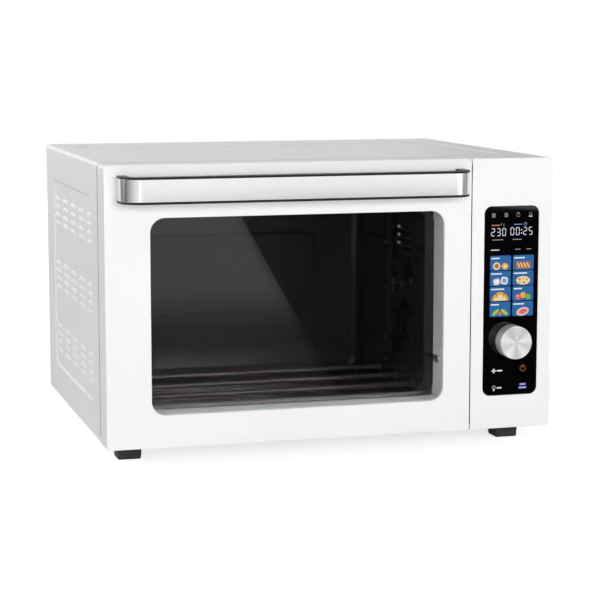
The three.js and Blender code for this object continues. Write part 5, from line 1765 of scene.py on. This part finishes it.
MOTIFS = (
    (
        *marks(Tone.CREAM, Form.DISC, (-5.0, -3.6, 9.4, 9.0, 0.0, 1), (5.6, -4.0, 4.6, 4.2, 0.0, 2)),
        *marks(Tone.GOLD, Form.DISC, (5.6, -4.0, 8.4, 8.0, 0.0, 1)),
        *marks(Tone.CRUST, Form.DISC, (-5.0, -3.6, 5.8, 5.4, 0.0, 2)),
    ),
    (
        *marks(Tone.PALE, Form.BAR, (-4.8, -3.9, 8.6, 7.8, 8.0, 1)),
        *marks(Tone.WHITE, Form.BAR, (5.0, -2.7, 8.6, 8.8, -10.0, 1), (-4.8, -3.9, 5.6, 4.8, 8.0, 2)),
        *marks(Tone.SOFT, Form.BAR, (5.0, -2.7, 5.6, 5.6, -10.0, 2)),
    ),
    (
        *marks(Tone.GOLD, Form.HALF, (0.0, -8.3, 21.0, 21.0, 0.0, 1)),
        *marks(Tone.CREAM, Form.HALF, (0.0, -7.9, 15.0, 13.0, 0.0, 2)),
        *marks(Tone.CRUST, Form.BAR, (-4.6, -1.9, 1.3, 5.4, 24.0, 2), (4.6, -1.9, 1.3, 5.4, -24.0, 2)),
    ),
    (
        *marks(Tone.LEAF, Form.DISC, (-5.6, -3.6, 11.0, 5.6, 38.0, 1), (5.6, -3.6, 11.0, 5.6, -38.0, 1)),
        *marks(Tone.CREAM, Form.BAR, (-5.6, -3.6, 8.6, 0.7, 38.0, 2), (5.6, -3.6, 8.6, 0.7, -38.0, 2)),
        *marks(Tone.ROSE, Form.DISC, (0.0, -5.4, 4.6, 4.6, 0.0, 2)),
    ),
    (
        *marks(Tone.CRUST, Form.BAR, (0.0, -3.4, 18.6, 8.6, 0.0, 1)),
        *marks(Tone.CREAM, Form.BAR, *((x, -3.2, 1.4, 6.4, 30.0, 2) for x in (-6.0, -2.0, 2.0, 6.0))),
    ),
    (
        *marks(Tone.CREAM, Form.DISC, (0.0, -3.2, 17.6, 10.4, 0.0, 1)),
        *marks(Tone.ROSE, Form.DISC, (-4.6, -1.8, 3.2, 2.8, 0.0, 2), (1.0, -5.8, 3.2, 2.8, 0.0, 2)),
        *marks(Tone.LEAF, Form.DISC, (4.8, -2.2, 3.0, 2.4, 0.0, 2)),
        *marks(Tone.GOLD, Form.DISC, (-4.2, -5.4, 2.6, 2.2, 0.0, 2), (0.6, -0.8, 2.8, 2.2, 0.0, 2)),
    ),
    (
        *marks(Tone.ROSE, Form.DISC, (-6.0, -4.4, 7.0, 7.0, 0.0, 1)),
        *marks(Tone.GOLD, Form.DISC, (0.4, -2.4, 7.4, 7.4, 0.0, 1)),
        *marks(Tone.LEAF, Form.DISC, (6.6, -4.4, 6.6, 6.6, 0.0, 1)),
        *marks(Tone.PALE, Form.DISC, (-7.0, -3.2, 2.2, 1.8, 0.0, 2)),
        *marks(Tone.CREAM, Form.DISC, (-0.8, -1.0, 2.4, 2.0, 0.0, 2)),
    ),
    (
        *marks(Tone.PALE, Form.DISC, (0.0, -3.6, 16.4, 9.8, 14.0, 1)),
        *marks(Tone.ROSE, Form.DISC, (0.6, -3.4, 11.0, 5.6, 14.0, 2)),
    ),
)


@dataclass
class Picture:
    """The lit picture on the touch glass: numbers, signs, and tiles with plain motifs.

    Lengths are millimetres.
    """

    face: float = 0.2
    thickness: float = 0.06
    step: float = 0.055
    stroke: float = 0.75
    bar_round: float = 0.6
    digit_width: float = 4.6
    digit_height: float = 9.3
    columns: tuple[float, ...] = (475.05, 504.0)
    tile_width: float = 26.6
    tile_height: float = 17.6
    tile_radius: float = 1.6
    tile_top: float = 208.4
    tile_pitch: float = 18.5
    rows: int = 4
    label_x: float = -6.6
    label_z: float = 5.6
    label: Span = (10.5, 1.5)
    label_growth: float = 0.3
    temperature: tuple = ("230", (462.6, 469.6, 476.6), 231.8)
    time: tuple = ("0025", (487.0, 494.0, 503.3, 510.4), 232.4)
    colon: Point = (501.1, 238.6, 1.5)
    colon_drop: float = 0.42
    flat_gap: float = 1.7
    tall_gap: float = 1.4
    arm_places: Span = (0.74, 0.26)

    def build(self, finishes: Finishes) -> None:
        """Makes the picture, one piece for each tone."""
        every = list(ICONS) + self._numbers() + self._tiles()
        for tone in Tone:
            forms = [self._form(mark) for mark in every if mark.tone is tone]
            colour, strength = tone.value
            word = tone.name.lower()
            glow = Lit(f"lit_{word}", colour, strength).build()
            picture = forms[0].gather(*forms[1:])
            picture.piece.name = f"picture_{word}"
            picture.done(glow, Body.CASE, Slot.DISPLAY)

    def _tiles(self) -> list[Mark]:
        """The tiles with their short labels and motifs."""
        made = []
        for index, motif in enumerate(MOTIFS):
            x = self.columns[index // self.rows]
            z = self.tile_top - self.tile_height / 2 - index % self.rows * self.tile_pitch
            length = self.label[0] * (1 + self.label_growth * (index % 3))
            start = x + self.label_x - self.label[0] / 2
            label = (start + length / 2, z + self.label_z, length, self.label[1], 0.0, 1)
            made += marks(Tone.TILE, Form.BAR, (x, z, self.tile_width, self.tile_height))
            made += marks(Tone.WHITE, Form.BAR, label)
            made += [replace(mark, x=x + mark.x, z=z + mark.z) for mark in motif]
        return made

    def _numbers(self) -> list[Mark]:
        """The temperature and the time."""
        made = []
        for text, starts, low in (self.temperature, self.time):
            for digit, start in zip(text, starts):
                made += self._digit(digit, start, low)
        x, z, size = self.colon
        drop = self.digit_height * self.colon_drop
        return made + marks(Tone.WHITE, Form.DISC, (x, z, size, size), (x, z - drop, size, size))

    def _digit(self, digit: str, x: float, z: float) -> list[Mark]:
        """The bars of one number, from its lower left corner."""
        wide, high, bar = self.digit_width, self.digit_height, self.stroke
        flat = (wide - self.flat_gap * bar, bar)
        tall = (bar, high / 2 - self.tall_gap * bar)
        left, right = bar / 2, wide - bar / 2
        upper_arm, lower_arm = high * self.arm_places[0], high * self.arm_places[1]
        places = {
            "a": (wide / 2, high - bar / 2, *flat), "g": (wide / 2, high / 2, *flat),
            "d": (wide / 2, bar / 2, *flat), "f": (left, upper_arm, *tall),
            "b": (right, upper_arm, *tall), "e": (left, lower_arm, *tall),
            "c": (right, lower_arm, *tall),
        }
        bars = (places[letter] for letter in SEGMENTS[digit])
        return marks(Tone.WHITE, Form.BAR, *((x + across, z + up, *size) for across, up, *size in bars))

    def _form(self, mark: Mark) -> Bench:
        """Cuts one mark out of thin sheet and turns it in its plane."""
        back = (self.face - mark.layer * self.step) / MILLIMETRES
        near = back - self.thickness / MILLIMETRES
        centre = drawn(mark.x / MILLIMETRES, (near + back) / 2, mark.z / MILLIMETRES)
        across, up = (length / (2 * MILLIMETRES) for length in (mark.width, mark.height))
        half = Vector((across, (back - near) / 2, up))
        if mark.form is Form.BAR:
            radius = min(half.x, half.z) * self.bar_round
            if mark.tone is Tone.TILE:
                radius = self.tile_radius / MILLIMETRES
            bench = Bench.rounded("form", Box(centre - half, centre + half), Axis.Y, radius, 3)
        elif mark.form in (Form.RING, Form.ARC):
            inner, outer, deep = half.x - self.stroke / (2 * MILLIMETRES), half.x, half.y
            rim = [(inner, -deep), (outer, -deep), (outer, deep), (inner, deep), (inner, -deep)]
            bench = Bench.turned("form", Axis.Y, centre, rim, 20)
        else:
            bench = Bench.disc("form", Axis.Y, centre, half.x, 2 * half.y, 24)
            factor, level = half.z / half.x, centre.z
            bench.shape(lambda point: Vector((point.x, point.y, level + (point.z - level) * factor)))
        if mark.form in (Form.ARC, Form.HALF):
            bench.halve(centre, Axis.Z.unit, True)
        turn = math.radians(mark.turn)

        def turned(point: Vector) -> Vector:
            """Turns a vertex about the mark's centre."""
            x, z = point.x - centre.x, point.z - centre.z
            return Vector((
                centre.x + x * math.cos(turn) - z * math.sin(turn), point.y,
                centre.z + x * math.sin(turn) + z * math.cos(turn),
            ))

        return bench.shape(turned)


@dataclass
class Knob:
    """The turned knob with its dished face."""

    chamfer: float = 0.0011
    dish: float = 0.0004
    dish_half: float = 0.5
    dish_depths: Span = (0.75, 0.3)
    rim: float = 0.0012
    rim_flat: float = 0.4
    sides: int = 96

    def build(self, finishes: Finishes) -> None:
        """Makes the knob."""
        box = Box.of("knob")
        radius = box.size.x / 2
        length = box.size.y
        face = radius - self.chamfer
        profile = [
            (0.0, self.dish), (radius * self.dish_half, self.dish * self.dish_depths[0]),
            (face - self.rim, self.dish * self.dish_depths[1]), (face - self.rim * self.rim_flat, 0.0),
            (face, 0.0), (radius, self.chamfer), (radius, length - self.chamfer), (face, length),
            (0.0, length),
        ]
        knob = Bench.turned("control_dial", Axis.Y, box.middle(Axis.Y, box.lo.y), profile, self.sides)
        knob.done(finishes.knob, Body.KNOB, Slot.TURNED, "knob")


@dataclass
class Drives:
    """The sheet parts of the fan and of the spit's drive, behind the cavity's right wall."""

    sheet_edge: float = 0.0003
    socket_edge: float = 0.0004

    def build(self, finishes: Finishes) -> None:
        """Dresses the drives' pieces."""
        for node, name, finish, body, slot in (
            ("fan_housing", "fan_cup", finishes.galvanised, Body.CASE, Slot.GALVANISED),
            ("rotisserie_bracket", "drive_bridge", finishes.galvanised, Body.CASE, Slot.GALVANISED),
            ("fan_impeller", "fan_wheel", finishes.galvanised, Body.FAN, Slot.GALVANISED),
            ("rotisserie_socket", "spit_socket", finishes.zinc, Body.SPIT, Slot.ZINC),
        ):
            edge = self.socket_edge if body is Body.SPIT else self.sheet_edge
            Bench.stand_in(node, name, finish, body, slot, edge, 2, FOLDED)


def dress_rest(finishes: Finishes) -> None:
    """Gives each CAD node that still shows its finish."""
    finish_of = {
        "encoder_body": finishes.plastic, "encoder_shaft": finishes.zinc,
        "display_module": finishes.module, "display_board": finishes.board,
        "power_board": finishes.board, "fan_motor": finishes.motor, "fan_shaft": finishes.zinc,
        "rotisserie_motor": finishes.motor,
    }
    for node, finish in finish_of.items():
        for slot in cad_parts[node].material_slots:
            slot.material = finish
        log.info("%s: %s", node, finish.name)


@dataclass(frozen=True)
class Wing:
    """A card that stands beside the oven and that only metal and glass see.

    The tones are those of its start and its end.
    """

    name: str
    start: Span
    end: Span
    tones: Span
    low: float = 0.09
    high: float = 1.5

    @property
    def axis(self) -> Axis:
        """The axis that the card mostly runs along."""
        across, deep = (abs(b - a) for a, b in zip(self.start, self.end))
        return Axis.X if across > deep else Axis.Y


@dataclass(frozen=True)
class Lamp:
    """A soft lamp: its place, its width and height, its watts, and whether gloss shows it."""

    name: str
    place: Point
    size: Span
    power: float
    mirrored: bool = True


@dataclass
class Studio:
    """The camera, the lamps, the white floor and what the glass reflects."""

    lens: float = 115.3032
    sensor: float = 36.0
    clip: float = 0.05
    eye: Point = (-0.64481, -2.31785, 0.48866)
    yaw: float = 15.8978
    pitch: float = 7.8233
    world_light: float = 0.14
    world_gloss: float = 0.72
    floor_size: float = 9.0
    floor_tone: float = 0.8
    floor_glow: float = 0.7
    shadow_near: float = 0.42
    shadow_far: float = 0.7
    card_height: float = 0.002
    card_near: float = -0.36
    card_far: float = -3.3
    card_near_x: tuple[float, float, float] = (-0.75, 0.0761, 0.9)
    card_far_x: tuple[float, float, float] = (-0.75, 0.6609, 2.3)
    grey_card: Span = (0.07, 0.32)
    grey_edge: Span = (-1.15, -1.7)
    black_card: float = 0.004
    wings: tuple[Wing, ...] = (
        Wing("left_wing", (-1.9, 0.2), (-1.2, -1.7), (0.04, 1.0)),
        Wing("right_wing", (1.64, 0.55), (1.78, -0.77), (0.4, 0.4)),
        Wing("bright_wing", (1.83, -1.16), (0.944, -2.43), (1.3, 1.3)),
        Wing("rear_dark_wing", (-0.35, 4.0), (0.9, 4.0), (0.15, 0.15), 0.0, 1.15),
        Wing("rear_soft_wing", (0.9, 4.0), (1.9, 4.0), (0.15, 0.72), 0.0, 1.15),
        Wing("rear_bright_wing", (-1.9, 4.0), (-0.4, 4.0), (1.9, 1.9), 0.4, 1.9),
    )
    apron: tuple[Point, ...] = (
        (-2.6, -3.3, 0.002), (3.6, -3.3, 0.002), (3.6, -7.0, 0.002), (-2.6, -7.0, 0.002),
    )
    apron_tone: float = 1.35
    lamps: tuple[Lamp, ...] = (
        Lamp("key_lamp", (0.0, -3.4, 0.72), (2.6, 1.1), 89.0, False),
        Lamp("left_lamp", (-2.3, 0.3, 1.8), (1.4, 1.4), 37.0),
        Lamp("right_lamp", (2.9, 0.5, 1.6), (1.6, 1.6), 17.0),
        Lamp("rear_lamp", (0.3, 3.4, 0.9), (2.2, 1.4), 8.0),
    )
    aim: Point = (0.0, 0.0, 0.17)

    def build(self) -> None:
        """Sets the stage."""
        self._camera()
        self._world()
        self._floor()
        self._card("grey_card", 0, self.grey_card)
        self._card("black_card", 1, (self.black_card, self.black_card))
        for wing in self.wings:
            self._wing(wing)
        self._reflected("apron_card", self.apron, (self.apron_tone,) * 2, Axis.Y, self.grey_edge)
        for lamp in self.lamps:
            self._lamp(lamp)

    def _camera(self) -> None:
        """The camera, at the photograph's place and angle."""
        camera = bpy.data.cameras.new("camera")
        camera.lens = self.lens
        camera.sensor_width = self.sensor
        camera.clip_start = self.clip
        holder = bpy.data.objects.new("camera", camera)
        holder.location = self.eye
        holder.rotation_euler = (math.radians(90 - self.pitch), 0.0, math.radians(-self.yaw))
        link(holder)
        bpy.context.scene.camera = holder
        bpy.context.scene.view_settings.view_transform = "Standard"

    def _world(self) -> None:
        """White where the camera, metal or glass sees it, and plain soft light elsewhere."""
        world = bpy.data.worlds.new("studio")
        bpy.context.scene.world = world
        graph = Graph("studio", world)
        path = graph.add("ShaderNodeLightPath").outputs
        seen = graph.math("MAXIMUM", path["Is Camera Ray"], path["Is Transmission Ray"])
        plain = graph.spread(seen, self.world_light, 1.0, 0.0, 1.0)
        gloss = graph.math("MULTIPLY", path["Is Glossy Ray"], self.world_gloss)
        graph.finish(graph.add("ShaderNodeBackground", {
            "Color": opaque((1.0, 1.0, 1.0)), "Strength": graph.math("MAXIMUM", plain, gloss),
        }).outputs["Background"])

    def _plane(self, name: str, size: float, finish: Material) -> bpy.types.Object:
        """A flat sheet on the ground."""
        clear_selection()
        bpy.ops.mesh.primitive_plane_add(size=size, location=(0.0, 0.0, 0.0))
        plane = bpy.context.object
        plane.name = name
        plane.data.materials.append(finish)
        return plane

    def _floor(self) -> None:
        """The white floor, which keeps the shadow round the oven."""
        graph = Graph("studio_floor")
        place = graph.add("ShaderNodeTexCoord").outputs["Object"]
        distance = graph.add("ShaderNodeVectorMath", {0: place}, operation="LENGTH").outputs["Value"]
        far = graph.spread(distance, self.floor_glow, 1.0, self.shadow_near, self.shadow_far)
        seen = graph.add("ShaderNodeLightPath").outputs["Is Camera Ray"]
        matte = graph.add("ShaderNodeBsdfDiffuse", {"Color": opaque((self.floor_tone,) * 3)})
        graph.finish(graph.add("ShaderNodeAddShader", {
            0: matte.outputs["BSDF"], 1: graph.glow(graph.math("MULTIPLY", far, seen)),
        }).outputs["Shader"])
        floor = self._plane("studio_floor", self.floor_size, graph.material)

    def _card(self, name: str, index: int, tones: Span) -> None:
        """A card on the floor before the oven.

        Args:
            name: the name of the card.
            index: its place among the cards, from the left.
            tones: how bright it looks before and beyond its soft edge.
        """
        corners = [
            (xs[index + end], y, self.card_height)
            for xs, y, ends in (
                (self.card_near_x, self.card_near, (0, 1)), (self.card_far_x, self.card_far, (1, 0)),
            )
            for end in ends
        ]
        self._reflected(name, corners, tones, Axis.Y, self.grey_edge)

    def _wing(self, wing: Wing) -> None:
        """Stands a card beside the oven, for the light and dark bands in round metal."""
        corners = [
            (*foot, height) for height, feet in (
                (wing.low, (wing.start, wing.end)), (wing.high, (wing.end, wing.start)),
            )
            for foot in feet
        ]
        axis = wing.axis
        ends = (wing.start[axis.value], wing.end[axis.value])
        self._reflected(wing.name, corners, wing.tones, axis, ends)

    def _reflected(
        self, name: str, corners: Sequence[Point], tones: Span, axis: Axis, ends: Span,
    ) -> None:
        """Lays a glowing card on four corners, which only gloss and glass see.

        Args:
            name: the name of the card.
            corners: its corners, in turn.
            tones: how bright it looks at the two ends of its soft edge.
            axis: the axis that the soft edge runs along.
            ends: where on that axis the soft edge starts and ends.
        """
        graph = Graph(name)
        place = graph.parts(graph.place())[axis.name]
        graph.finish(graph.glow(graph.spread(place, *tones, *ends)))
        card = self._plane(name, 1.0, graph.material)
        for corner, index in zip(corners, card.data.polygons[0].vertices):
            card.data.vertices[index].co = corner
        card.visible_camera = card.visible_diffuse = card.visible_shadow = False

    def _lamp(self, lamp: Lamp) -> None:
        """Sets one lamp up, so that it looks at the oven."""
        light = bpy.data.lights.new(lamp.name, "AREA")
        light.shape = "RECTANGLE"
        light.size, light.size_y = lamp.size
        light.energy = lamp.power
        holder = bpy.data.objects.new(lamp.name, light)
        holder.location = lamp.place
        holder.visible_glossy = lamp.mirrored
        way = Vector(self.aim) - Vector(lamp.place)
        holder.rotation_euler = way.to_track_quat("-Z", "Y").to_euler()
        link(holder)


def main() -> None:
    """Builds the oven's sub-assemblies in order and reports them."""
    logging.basicConfig(level=logging.INFO, format="%(name)s: %(message)s")
    Studio().build()
    finishes = Finishes()
    for assembly in (
        CaseWrap(), RearAndBase(), Cavity(), Door(), Handle(), Column(), Picture(), Knob(), Drives(),
    ):
        assembly.build(finishes)
        log.info("%s is built", type(assembly).__name__)
    dress_rest(finishes)


if __name__ == "__main__":
    main()
